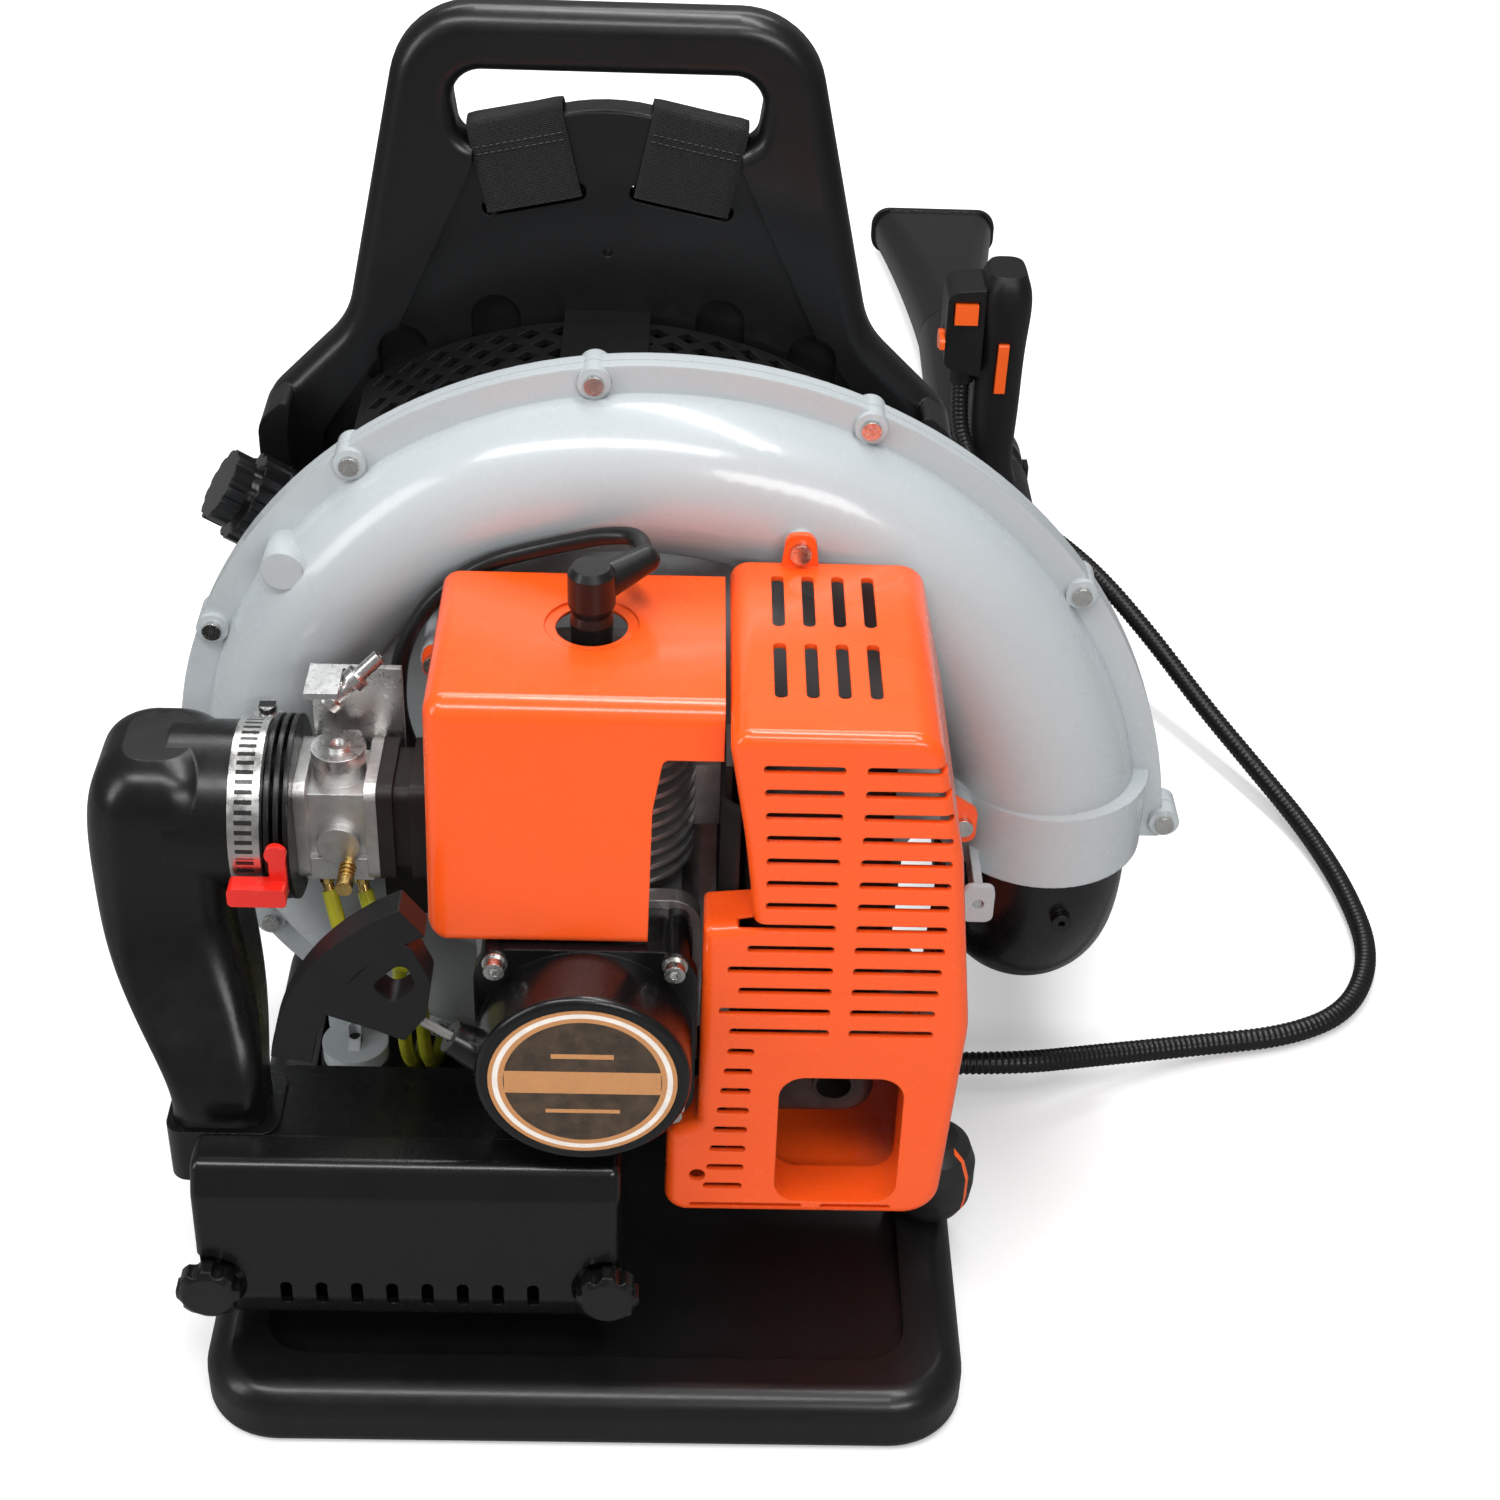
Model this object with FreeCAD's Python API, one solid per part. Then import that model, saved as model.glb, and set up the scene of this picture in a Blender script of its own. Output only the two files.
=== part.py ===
import FreeCAD, Part
import math
import os

# Backpack leaf blower.  Millimetres, +Z up.  The origin is on the floor under the middle of the
# base; the engine faces -Y, the wearer and the blower tube lie towards +Y.

V = FreeCAD.Vector
X_AXIS = V(1, 0, 0)
Y_AXIS = V(0, 1, 0)
Z_AXIS = V(0, 0, 1)

# ---------------------------------------------------------------- driving dimensions
FIT = 0.3              # clearance between neighbouring pieces
RUN = 0.05             # radial running clearance of a shaft in its bearing

# frame: moulded base, back plate and carry handle
BASE_W = 334.0         # width of the base
BASE_D = 330.0         # depth of the base
BASE_H = 30.0          # height of its rounded rim
BASE_CORNER = 34.0     # plan radius of its corners
BASE_RIM = 26.0        # width of the rim
PANEL_DROP = 7.0       # depth of the sunk top panel
PLATE_Y = 142.0        # front face of the back plate
PLATE_T = 24.0         # thickness of the back plate and handle
PLATE_HALF = 157.0     # half width of the plate below its shoulders
SHOULDER_Z = 345.0     # height where the shoulders start to slope in
SHOULDER_TOP_Z = 385.0
SHOULDER_TOP_HALF = 117.0
HANDLE_TOP = 530.0     # top of the carry handle
HANDLE_HALF = 86.0     # half width of the handle
HANDLE_BAR = 27.0      # thickness of the handle bar
OPENING_HALF = 68.0    # half width of the hand opening
OPENING_LOW = 466.0    # lower corners of the hand opening
OPENING_CROWN = 488.0  # crown of the panel inside the opening
PLATE_ROUND = 10.0     # rounding of plate and handle edges

# fan housing (volute); angles run counter-clockwise seen from the engine side, 0 is +X
CRANK_Z = 195.0        # height of the crankshaft
SPLIT_Y = 50.0         # plane where the two housing halves meet
FLANGE_R0 = 259.0      # flange radius at angle 0
FLANGE_RATE = 0.40     # loss of flange radius per degree
FLANGE_W = 12.0        # width of the flange outside the scroll
FLANGE_T = 6.0         # thickness of the flange on each half
INNER_R0 = 161.0       # inner radius of the scroll at angle 0
INNER_RATE = 0.26
SCROLL_END = 305.0     # angle where the scroll is narrowest
HOUSING_WALL = 3.0
OUTLET_Z = 183.0       # plane of the round outlet mouth
COLLAR_H = 38.0        # height of the outlet collar
COLLAR_T = 3.5         # step of the collar outside the scroll
MOUNT_PLATE_Y = 40.0   # engine side of the flat centre of the front half
MOUNT_PLATE_T = 5.0    # its thickness; it reaches into the flange, which is one piece with it
INTAKE_FACE_Y = 100.0  # wearer side of the rear half
INTAKE_R = 86.0        # radius of the air inlet

# fan
FAN_R = 124.0
FAN_Y0 = 53.0
FAN_Y1 = 93.0
FAN_BLADES = 16
FAN_BLADE_T = 2.4
SHAFT_R = 7.5

# engine
CYL_Y = -34.0          # cylinder axis
CASE_R = 46.0
CASE_FRONT_Y = -84.0
FIN_R = 43.0
FIN_T = 2.2
FIN_PITCH = 7.0
FIN_COUNT = 11
FIN_Z0 = 244.0
CORE_R = 28.0
HEAD_TOP_Z = 325.0

# starter
STARTER_R = 43.5
STARTER_PLATE_Y = -112.0
STARTER_FACE_Y = -141.0
STARTER_BOLT_X = 36.0
STARTER_BOLT_Z = 38.5
LABEL_R = 38.0
REEL_R = 22.0          # radius at which the rope leaves the reel
ROPE_R = 1.8
PULL_ANGLE = 35.6      # slope of the rope above the horizontal
PULL_Y = -127.0
GUIDE_OUT = 50.0       # distance from the reel to the end of the rope guide
GRIP_OUT = 66.0        # distance from the reel to the foot of the pull grip

# covers
COVER_T = 2.5
CYL_COVER_X0 = -63.0
CYL_COVER_X1 = 53.5
CYL_COVER_TOP = 344.0
CYL_COVER_BACK = 4.0
CYL_COVER_FRONT = -92.0
CYL_COVER_LIP = -110.0
CYL_COVER_LOW = 240.0
MUF_COVER_FRONT = -118.0
MUF_COVER_BACK = 6.0
MUF_COVER_TOP = 350.0
MUF_COVER_LOW = 98.0
MUF_COVER_X0 = 33.0
MUF_COVER_X1 = 156.0
SLOT_PITCH = 11.0
SLOT_H = 3.6
SLOT_ROWS = 13
SLOT_TOP_Z = 333.0
WINDOW_X0 = 80.0
WINDOW_X1 = 132.0
WINDOW_Z0 = 106.0
WINDOW_Z1 = 178.0

# carburettor line, along X
CARB_Y = -34.0
CARB_Z = 250.0
INSULATOR_L = 20.0
CARB_L = 34.0
ADAPTOR_L = 10.0
ADAPTOR_R = 39.0
DUCT_R = 33.0
CLAMP_W = 13.0

# air filter box
BOX_X0 = -164.0
BOX_X1 = 15.0
BOX_Z0 = 52.0
BOX_Z1 = 138.0
BOX_BACK = -64.0
BOX_SPLIT = -114.0
BOX_FRONT = -142.0
BOX_WALL = 2.5
KNOB_R = 13.5
KNOB_Z = 76.0
KNOB_IN = 5.0          # knob centres stand this far inside the box's ends

# blower tube
ELBOW_R = 41.0
ELBOW_BEND = 50.0
ELBOW_WALL = 3.0
HOSE_R = 39.0
HOSE_WALL = 3.0
HOSE_RIBS = 12
HOSE_REACH = 276.0     # distance from elbow to tube, along Y
TUBE_X = 238.0
TUBE_R = 30.0
TUBE_WALL = 2.2
RING_T = 2.5           # height of the tube's end rings
TUBE_L = 272.0
GRIP_AT = TUBE_L - 60  # distance of the grip from the hose end, along the tube
NOZZLE_L = 212.0       # round part of the nozzle
FLARE_L = 216.0
FLARE_W = 100.0
FLARE_H = 36.0
FLARE_LIP = 1.5
FLOOR_GAP = 0.4        # the laid-down tube clears the floor by this much

# harness
STRAP_W = 42.0
STRAP_T = 2.4
STRAP_X = 32.0         # the top webbing slots stand this far from the middle
STRAP_TILT = 12.0      # and lean outwards by this angle
STRAP_SLOT_Z = 446.0
STRAP_RISE = 36.6      # from a slot up to the panel's edge
PAD_T = 14.0
PAD_W = 58.0
CUSHION_T = 20.0
WEB_W = 28.0           # width of the lower webbing
HOOK_X = 118.0
HOOK_Z = 78.0
DISH_T = 4.0           # depth of the panel between the plate's rims
REAR_DISH_T = 6.0
WING_Y = 126.0         # front edge of the shoulder side walls

# rubber mounts
DAMPER_R = 17.0
DAMPER_H = 28.0
PAD_TOP = BASE_H - PANEL_DROP + 4
DAMPER_SPOTS = [(-118, 26), (118, 26)]
REAR_DAMPER_R = 14.0
REAR_DAMPERS = [(-72, CRANK_Z + 101), (72, CRANK_Z + 101)]
STUD_R = 3.0
BUFFER_X = 157.0
BUFFER_Y = -40.0
BUFFER_R = 20.5

# flange screws, intake guard and fuel tank
SCREW_R = 2.2
BOSS_ANGLES = (-0.5, 30, 60.5, 90.5, 120.5, 151, 178, 204.5, 240, 275)
GUARD_R = FLANGE_R0 - 63
GUARD_T = 3.0
GUARD_A0 = 45.0
GUARD_A1 = 124.0
GUARD_Y0 = 92.0
GUARD_Y1 = PLATE_Y
GUARD_COLS = 19
GUARD_ROWS = 4
TANK_Y0 = 102.0
TANK_Y1 = 139.0
TANK_R_OUT = FLANGE_R0 - 75
TANK_R_IN = 99.0
TANK_A0 = 134.0
TANK_A1 = 342.0
TANK_LOW = 46.0
TANK_SIDE = 141.0
CAP_R = 21.0
NECK_R = 15.0
NECK_DIR = V(-0.82, -0.12, 0.56).normalize()
NECK_POS = V(-147.0, 102.0, 312.0)   # rim of the filler neck

# rotating parts, ports and muffler
BEARING_R = 19.0
FLYWHEEL_R = 38.0
FLYWHEEL_T = 12.0
VANE_H = 5.0
DECK_Z = 233.5         # joint between crankcase and cylinder
PORT_X = -68.0         # face of the cylinder's inlet flange
PORT_HALF = 15.0
EXHAUST_Z0 = 256.0
EXHAUST_Z1 = 286.0
MUFFLER_X0 = 58.0
MUFFLER_X1 = 130.0
BAFFLE_X = 53.0
BORE_R = 10.0

# pull grip, ignition lead and fuel hoses
REEL_FLANGE_R = 31.0
GRIP_T = 13.0
GRIP_STEM = 38.0
LEAD_R = 3.7
LEAD_Y = 9.5           # the lead runs down in this plane behind the cover
FITTING_DIR = V(0.25, -0.45, -0.85).normalize()
FUEL_R = 3.4

# intake duct: outer side, x and y of its middle where it enters the filter box
DUCT_OUT_X = -208.0
DUCT_LOW = (-157.0, -89.0)
DUCT_HALF = 20.0
ELBOW_SEAT = 14.0      # the elbow reaches this far into the outlet collar

# conduit
CONDUIT_R = 5.75
CLIP_X = 172.0
CLIP_Y = 46.0

NODES = {}


# ---------------------------------------------------------------- helpers
def add(name, shape):
    """Keep a finished sub-part under its node name."""
    if len(shape.Solids) == 1:
        shape = shape.Solids[0]
    NODES[name] = shape
    return shape


def box(x0, x1, y0, y1, z0, z1):
    return Part.makeBox(x1 - x0, y1 - y0, z1 - z0, V(x0, y0, z0))


def cyl(pos, axis, radius, length):
    return Part.makeCylinder(radius, length, pos, axis)


def cone(pos, axis, r0, r1, length):
    return Part.makeCone(r0, r1, length, pos, axis)


def ring(pos, axis, r_out, r_in, length):
    return cyl(pos, axis, r_out, length).cut(cyl(pos, axis, r_in, length))


def fuse(parts):
    joined = parts[0].multiFuse(parts[1:]) if len(parts) > 1 else parts[0]
    return joined.removeSplitter()


def cut(shape, tools):
    return shape.cut(Part.makeCompound(tools)) if tools else shape


def on_plane(plane, level, a, b):
    """Map outline coordinates (a, b) to space on the XY, XZ or YZ plane."""
    if plane == "XY":
        return V(a, b, level)
    if plane == "XZ":
        return V(a, level, b)
    return V(level, a, b)


def outline(points, plane, level):
    """Closed wire through corners (a, b, radius), each corner rounded by a tangent arc."""
    count = len(points)
    pos = [on_plane(plane, level, p[0], p[1]) for p in points]
    starts, ends, arcs = [], [], []
    for i in range(count):
        here, before, after = pos[i], pos[i - 1], pos[(i + 1) % count]
        radius = points[i][2] if len(points[i]) > 2 else 0
        if radius <= 0:
            starts.append(here)
            ends.append(here)
            arcs.append(None)
            continue
        u = (before - here).normalize()
        w = (after - here).normalize()
        half = u.getAngle(w) / 2
        reach = radius / math.tan(half)
        mid_dir = (u + w).normalize()
        centre = here + mid_dir * (radius / math.sin(half))
        starts.append(here + u * reach)
        ends.append(here + w * reach)
        arcs.append(Part.Arc(starts[i], centre - mid_dir * radius, ends[i]).toShape())
    edges = []
    for i in range(count):
        if arcs[i] is not None:
            edges.append(arcs[i])
        nxt = (i + 1) % count
        if (starts[nxt] - ends[i]).Length > 1e-6:
            edges.append(Part.LineSegment(ends[i], starts[nxt]).toShape())
    return Part.Wire(Part.__sortEdges__(edges))


def prism(points, plane, level, depth):
    """Extrude a rounded outline by depth along the plane's normal."""
    normal = {"XY": Z_AXIS, "XZ": Y_AXIS, "YZ": X_AXIS}[plane]
    return Part.Face(outline(points, plane, level)).extrude(normal * depth)


def rect(a0, a1, b0, b1, radius):
    return [(a0, b0, radius), (a1, b0, radius), (a1, b1, radius), (a0, b1, radius)]


def turned(profile, pos, axis):
    """Revolve a closed (radius, height) profile about an axis through pos."""
    points = [V(r, 0, h) for r, h in profile]
    face = Part.Face(Part.makePolygon(points + [points[0]]))
    solid = face.revolve(V(0, 0, 0), Z_AXIS, 360)
    solid = Part.Solid(solid) if solid.ShapeType == "Shell" else solid
    return placed(solid, pos, axis)


def placed(shape, pos, axis):
    """Turn a shape built on +Z so that it stands on pos along axis."""
    moved = shape.copy()
    moved.Placement = FreeCAD.Placement(pos, FreeCAD.Rotation(Z_AXIS, axis))
    return moved


def polar(angle, radius, y):
    """Point on the crankshaft's polar grid, seen from the engine side."""
    a = math.radians(angle)
    return V(radius * math.cos(a), y, CRANK_Z + radius * math.sin(a))


def level_edges(shape, axis, value):
    """Edges lying wholly on the plane where the given coordinate equals value."""
    found = []
    for edge in shape.Edges:
        box_ = edge.BoundBox
        low, high = {"X": (box_.XMin, box_.XMax), "Y": (box_.YMin, box_.YMax),
                     "Z": (box_.ZMin, box_.ZMax)}[axis]
        if abs(low - value) < 1e-4 and abs(high - value) < 1e-4:
            found.append(edge)
    return found


def route(points, radius_share=0.45):
    """Wire of straight runs joined by tangent arcs through a list of points."""
    pts = [V(*p) if isinstance(p, tuple) else p for p in points]
    edges, radii, last = [], [], pts[0]
    for i in range(1, len(pts) - 1):
        u = (pts[i - 1] - pts[i])
        w = (pts[i + 1] - pts[i])
        reach = radius_share * min(u.Length, w.Length)
        u.normalize()
        w.normalize()
        half = u.getAngle(w) / 2
        radius = reach * math.tan(half)
        radii.append(round(radius, 1))
        mid_dir = (u + w).normalize()
        middle = pts[i] + mid_dir * (radius / math.sin(half) - radius)
        start, end = pts[i] + u * reach, pts[i] + w * reach
        edges.append(Part.LineSegment(last, start).toShape())
        edges.append(Part.Arc(start, middle, end).toShape())
        last = end
    edges.append(Part.LineSegment(last, pts[-1]).toShape())
    return Part.Wire(edges), radii


def pipe(points, radius, radius_share=0.45):
    """Round solid swept along a route; prints its bend radii and volume check."""
    wire, radii = route(points, radius_share)
    first = wire.Edges[0]
    tangent = first.tangentAt(first.FirstParameter)
    profile = Part.Wire(Part.makeCircle(radius, first.valueAt(first.FirstParameter), tangent))
    solid = wire.makePipeShell([profile], True, True)
    share = solid.Volume / (math.pi * radius ** 2 * wire.Length)
    return solid, wire, radii, share


# ---------------------------------------------------------------- frame
def mirrored(points):
    """Complete an outline given for x >= 0, listed from bottom to top."""
    return points + [(-p[0],) + tuple(p[1:]) for p in reversed(points)]


def base_tray():
    """Rounded base with a sunk top panel and a ribbed underside."""
    half_w, half_d = BASE_W / 2, BASE_D / 2
    slab = prism(rect(-half_w, half_w, -half_d, half_d, BASE_CORNER), "XY", 0, BASE_H)
    slab = slab.makeFillet(12.0, level_edges(slab, "Z", BASE_H))
    slab = slab.makeFillet(6.0, level_edges(slab, "Z", 0))
    panel = prism(rect(-half_w + BASE_RIM, half_w - BASE_RIM, -half_d + BASE_RIM, half_d,
                       BASE_CORNER - 14), "XY", BASE_H - PANEL_DROP, PANEL_DROP + 1)
    tray = slab.cut(panel)
    cells, rib = 4, 14.0
    cell_w = (BASE_W - 2 * BASE_RIM - (cells - 1) * rib) / cells
    cell_d = (BASE_D - 2 * BASE_RIM - (cells - 1) * rib) / cells
    pockets = []
    for i in range(cells):
        for j in range(cells):
            x0 = -half_w + BASE_RIM + i * (cell_w + rib)
            y0 = -half_d + BASE_RIM + j * (cell_d + rib)
            pockets.append(box(x0, x0 + cell_w, y0, y0 + cell_d, -1, BASE_H - PANEL_DROP - 5))
    return cut(tray, pockets)


def back_plate():
    """Upright plate that narrows over the shoulders into the carry handle."""
    body = prism(mirrored([(PLATE_HALF - 7, 8, 6), (PLATE_HALF, 200, 60),
                           (PLATE_HALF, SHOULDER_Z, 22), (SHOULDER_TOP_HALF, SHOULDER_TOP_Z, 40),
                           (HANDLE_HALF, HANDLE_TOP, 38)]), "XZ", PLATE_Y, PLATE_T)
    body = body.makeFillet(PLATE_ROUND, level_edges(body, "Y", PLATE_Y)
                           + level_edges(body, "Y", PLATE_Y + PLATE_T))
    low, crown = OPENING_LOW, OPENING_CROWN
    opening = prism([(OPENING_HALF, HANDLE_TOP - HANDLE_BAR, 13), (OPENING_HALF - 5, low, 9),
                     (42, low + 12, 14), (0, crown + 3, 90), (-42, low + 12, 14),
                     (-OPENING_HALF + 5, low, 9), (-OPENING_HALF, HANDLE_TOP - HANDLE_BAR, 13)],
                    "XZ", PLATE_Y - 1, PLATE_T + 2)
    body = body.cut(opening)
    rims = [e for e in level_edges(body, "Y", PLATE_Y) + level_edges(body, "Y", PLATE_Y + PLATE_T)
            if e.BoundBox.ZMin > low - 5 and abs(e.CenterOfMass.x) < OPENING_HALF + 2]
    body = body.makeFillet(7.0, rims)
    inner = PLATE_HALF - 26
    dish = mirrored([(inner, 44, 12), (inner, SHOULDER_Z - 14, 20),
                     (SHOULDER_TOP_HALF - 22, SHOULDER_TOP_Z - 4, 30), (OPENING_HALF - 10, low - 4, 12),
                     (OPENING_HALF - 10, crown + 6)])
    front = prism(dish, "XZ", PLATE_Y - 1, 1 + DISH_T)
    rear = prism(dish, "XZ", PLATE_Y + PLATE_T - REAR_DISH_T, REAR_DISH_T + 1)
    return cut(body, [front, rear] + plate_slots() + plate_grooves())


def plate_slots():
    """Two sloping slots for the shoulder webbing and the small pin hole between them."""
    tools = [cyl(V(0, PLATE_Y - 1, 422), Y_AXIS, 2.0, PLATE_T + 2)]
    for side in (-1, 1):
        slot = prism(rect(-STRAP_W / 2 - 2, STRAP_W / 2 + 2, -4, 4, 3.5), "XZ", PLATE_Y - 1,
                     PLATE_T + 2)
        slot.rotate(V(0, 0, 0), Y_AXIS, side * STRAP_TILT)
        slot.translate(V(side * STRAP_X, 0, STRAP_SLOT_Z))
        tools.append(slot)
    return tools


def plate_grooves():
    """Four tall blind grooves in the face behind the fan housing."""
    tools = []
    for x, top in ((-92, 384), (-50, 400), (50, 400), (92, 384)):
        tools.append(prism(rect(x - 11, x + 11, top - 120, top, 10.9), "XZ", PLATE_Y, 9))
    return tools


def shoulder_wings():
    """Side walls of the shoulders, turned forward towards the housing."""
    wings = []
    for side in (-1, 1):
        wing = prism([(side * (PLATE_HALF - 13), 236, 3), (side * PLATE_HALF, 236, 3),
                      (side * PLATE_HALF, SHOULDER_Z, 14), (side * (PLATE_HALF - 16), SHOULDER_Z + 14, 3),
                      (side * (PLATE_HALF - 13), SHOULDER_Z - 6, 6)], "XZ", WING_Y,
                     PLATE_Y + PLATE_T / 2 - WING_Y)
        wings.append(wing)
    return wings


def backpack_frame():
    """Base, back plate, curved root and shoulder wings in one moulding."""
    root_r = 34.0
    top = BASE_H - PANEL_DROP
    root = box(-BASE_W / 2 + BASE_RIM, BASE_W / 2 - BASE_RIM, PLATE_Y - root_r,
               PLATE_Y + 6, top - 2, top + root_r)
    root = root.cut(cyl(V(-BASE_W / 2, PLATE_Y - root_r, top + root_r), X_AXIS, root_r, BASE_W))
    pads = [cyl(V(x, y, top - 1), Z_AXIS, DAMPER_R + 4, 5) for x, y in DAMPER_SPOTS]
    whole = fuse([base_tray(), back_plate(), root] + shoulder_wings() + pads + [conduit_clip()])
    studs = [cyl(V(x, y, 10), Z_AXIS, STUD_R + FIT, 30) for x, y in DAMPER_SPOTS]
    buckle_pins = [cyl(V(side * HOOK_X, PLATE_Y + PLATE_T - 14, HOOK_Z), Y_AXIS, 3.0, 20)
                   for side in (-1, 1)]
    add("backpack_frame", cut(whole, studs + buckle_pins))


def conduit_clip():
    """Clip moulded on the rim of the base for the end of the control conduit."""
    block = prism([(CLIP_Y - 10, BASE_H - 1, 1), (CLIP_Y + 10, BASE_H - 1, 1),
                   (CLIP_Y + 10, CLIP_Z + 3, 8), (CLIP_Y - 10, CLIP_Z + 3, 8)], "YZ", CLIP_X - 22, 22)
    foot = box(CLIP_X - 22, CLIP_X, CLIP_Y - 10, CLIP_Y + 10, BASE_H - 14, BASE_H)
    return fuse([block, foot, cyl(V(CLIP_X - 14, CLIP_Y, CLIP_Z), Z_AXIS, 3, 5)])


CLIP_Z = BASE_H + CONDUIT_R + 0.4


# ---------------------------------------------------------------- harness


def shoulder_pad(side):
    """Padded shoulder strap: a bent slab hanging from the slot to the lower buckle."""
    face_y = PLATE_Y + PLATE_T
    top_y = face_y - REAR_DISH_T + STRAP_T + 4 * FIT + PAD_T / 2
    spine = [(top_y, STRAP_SLOT_Z - 20), (face_y + 28, 396), (face_y + 54, 320),
             (face_y + 44, 235), (face_y + 30, 170)]
    ends = (0, 4, 5, 9)
    outer = [(y + PAD_T / 2, z) for y, z in spine]
    inner = [(y - PAD_T / 2, z) for y, z in reversed(spine)]
    points = [(p[0], p[1], 2 if k in ends else 14) for k, p in enumerate(outer + inner)]
    pad = prism(points, "YZ", -PAD_W / 2, PAD_W)
    lean = FreeCAD.Rotation(Y_AXIS, -side * 9.0)
    pad.translate(V(0, 0, -310))
    pad.Placement = FreeCAD.Placement(V(side * 64, 0, 310), lean).multiply(pad.Placement)
    return pad


def harness():
    """Back cushion, two shoulder pads, webbing above and below, buckles and lower hooks."""
    face_y = PLATE_Y + PLATE_T
    cushion = mirrored([(64, 112, 24), (70, 182, 30), (105, 212, 30), (105, 352, 30)])
    add("back_cushion", prism(cushion, "XZ", face_y - REAR_DISH_T + FIT, CUSHION_T + REAR_DISH_T))
    webbing, fittings = [], []
    for side, word in ((-1, "left"), (1, "right")):
        add("shoulder_pad_" + word, shoulder_pad(side))
        webbing.append(top_webbing(side))
        low = V(side * HOOK_X, face_y + 3 + FIT, HOOK_Z - 5)
        top = V(side * 90, face_y + 29, 168)
        run = top - low
        band = box(-WEB_W / 2, WEB_W / 2, 0, STRAP_T, 0, run.Length)
        webbing.append(placed(band, low, run))
        buckle = prism(rect(-WEB_W / 2 - 5, WEB_W / 2 + 5, 44, 74, 5), "XZ", STRAP_T, 3.6)
        gap = prism(rect(-WEB_W / 2, WEB_W / 2, 50, 56, 2), "XZ", STRAP_T + 1, 4)
        fittings.append(placed(buckle.cut(gap), low, run))
        hook = fuse([box(low.x - 17, low.x + 17, face_y, face_y + 3, HOOK_Z - 22, HOOK_Z + 8),
                     box(low.x - 17, low.x + 17, face_y + 3, face_y + 12, HOOK_Z - 14, HOOK_Z - 9)])
        fittings.append(hook)
    frame = NODES["backpack_frame"]
    add("strap_webbing", Part.makeCompound([band.cut(frame) for band in webbing]))
    add("strap_fittings", Part.makeCompound(fittings))


def top_webbing(side):
    """Webbing from the shoulder pad through the slot, over the panel's edge and back behind it."""
    t = STRAP_T
    front, rear = PLATE_Y + DISH_T - FIT, PLATE_Y + PLATE_T - REAR_DISH_T + FIT
    low, top = STRAP_SLOT_Z - 3, STRAP_SLOT_Z + STRAP_RISE + FIT + t
    loop = [(front - t, low + 1, 1), (front - t, top, 3), (rear + t, top, 3), (rear + t, low - 22, 1),
            (rear, low - 22, 1), (rear, top - t, 1), (front, top - t, 1), (front, low + 1, 1)]
    band = prism(loop, "YZ", -STRAP_W / 2, STRAP_W)
    band.translate(V(0, 0, -STRAP_SLOT_Z))
    band.rotate(V(0, 0, 0), Y_AXIS, side * STRAP_TILT)
    band.translate(V(side * STRAP_X, 0, STRAP_SLOT_Z))
    return band


# ---------------------------------------------------------------- fan housing


def flange_radius(angle):
    return FLANGE_R0 - FLANGE_RATE * angle


def scroll_radii(angle):
    """Centre-line radius of the scroll and radius of its round section."""
    outer = flange_radius(angle) - FLANGE_W
    inner = INNER_R0 - INNER_RATE * angle
    return (outer + inner) / 2, (outer - inner) / 2


def scroll(inset):
    """Round-section scroll tube that grows along the spiral, shrunk by the wall."""
    rings = []
    steps = 16
    for i in range(steps + 1):
        angle = SCROLL_END * i / steps
        centre_r, section = scroll_radii(angle)
        centre = polar(angle, centre_r, SPLIT_Y)
        along = V(-math.sin(math.radians(angle)), 0, math.cos(math.radians(angle)))
        rings.append(Part.Wire(Part.makeCircle(section - inset, centre, along)))
    return Part.makeLoft(rings, True, False)


def spiral_disc(offset, y, depth):
    """Flat disc bounded by the flange spiral, closed below the outlet."""
    steps = 24
    points = [polar(SCROLL_END * i / steps, flange_radius(SCROLL_END * i / steps) + offset, y)
              for i in range(steps + 1)]
    curve = Part.BSplineCurve()
    curve.interpolate(points)
    foot = V(points[0].x, y, OUTLET_Z)
    toe = V(points[0].x - 2 * ELBOW_R - 30, y, OUTLET_Z)
    edges = [curve.toShape(), Part.makeLine(points[-1], toe), Part.makeLine(toe, foot),
             Part.makeLine(foot, points[0])]
    return Part.Face(Part.Wire(edges)).extrude(Y_AXIS * depth)


OUTLET_X, OUTLET_R = scroll_radii(0)
OUTLET_BORE_R = OUTLET_R + COLLAR_T - HOUSING_WALL


def boss_spots(y):
    """Screw positions on the flange; the one beside the outlet stands on an ear outside it."""
    return [polar(a, flange_radius(a) - (FLANGE_W / 2 if a > 0 else -1), y) for a in BOSS_ANGLES]


def bosses(radius, y, depth):
    return [cyl(p, Y_AXIS, radius, depth) for p in boss_spots(y)]


def cover_posts():
    """Posts cast on the front half that take the screws of the two covers."""
    posts, bores = [], []
    for spot, y0, reach in COVER_SCREWS:
        start = V(spot.x, y0, spot.z)
        posts.append(cyl(start, Y_AXIS, 6, reach))
        bores.append(cyl(start - Y_AXIS, Y_AXIS, SCREW_R - 0.2, SCREW_GRIP + 1.5))
    return posts, bores


def cast_lugs():
    """Lifting lug beside the filler neck and the bracket beside the outlet."""
    lug = cyl(V(-133, SPLIT_Y - 26, 329), Y_AXIS, 9, 24)
    web = box(168, 172, -12, 22, 180, 194)
    tab = prism(rect(163, 177, 177, 197, 4), "XZ", -14, 3)
    return [lug, web, tab.cut(cyl(V(170, -15, 187), Y_AXIS, 2.5, 5))]


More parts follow.
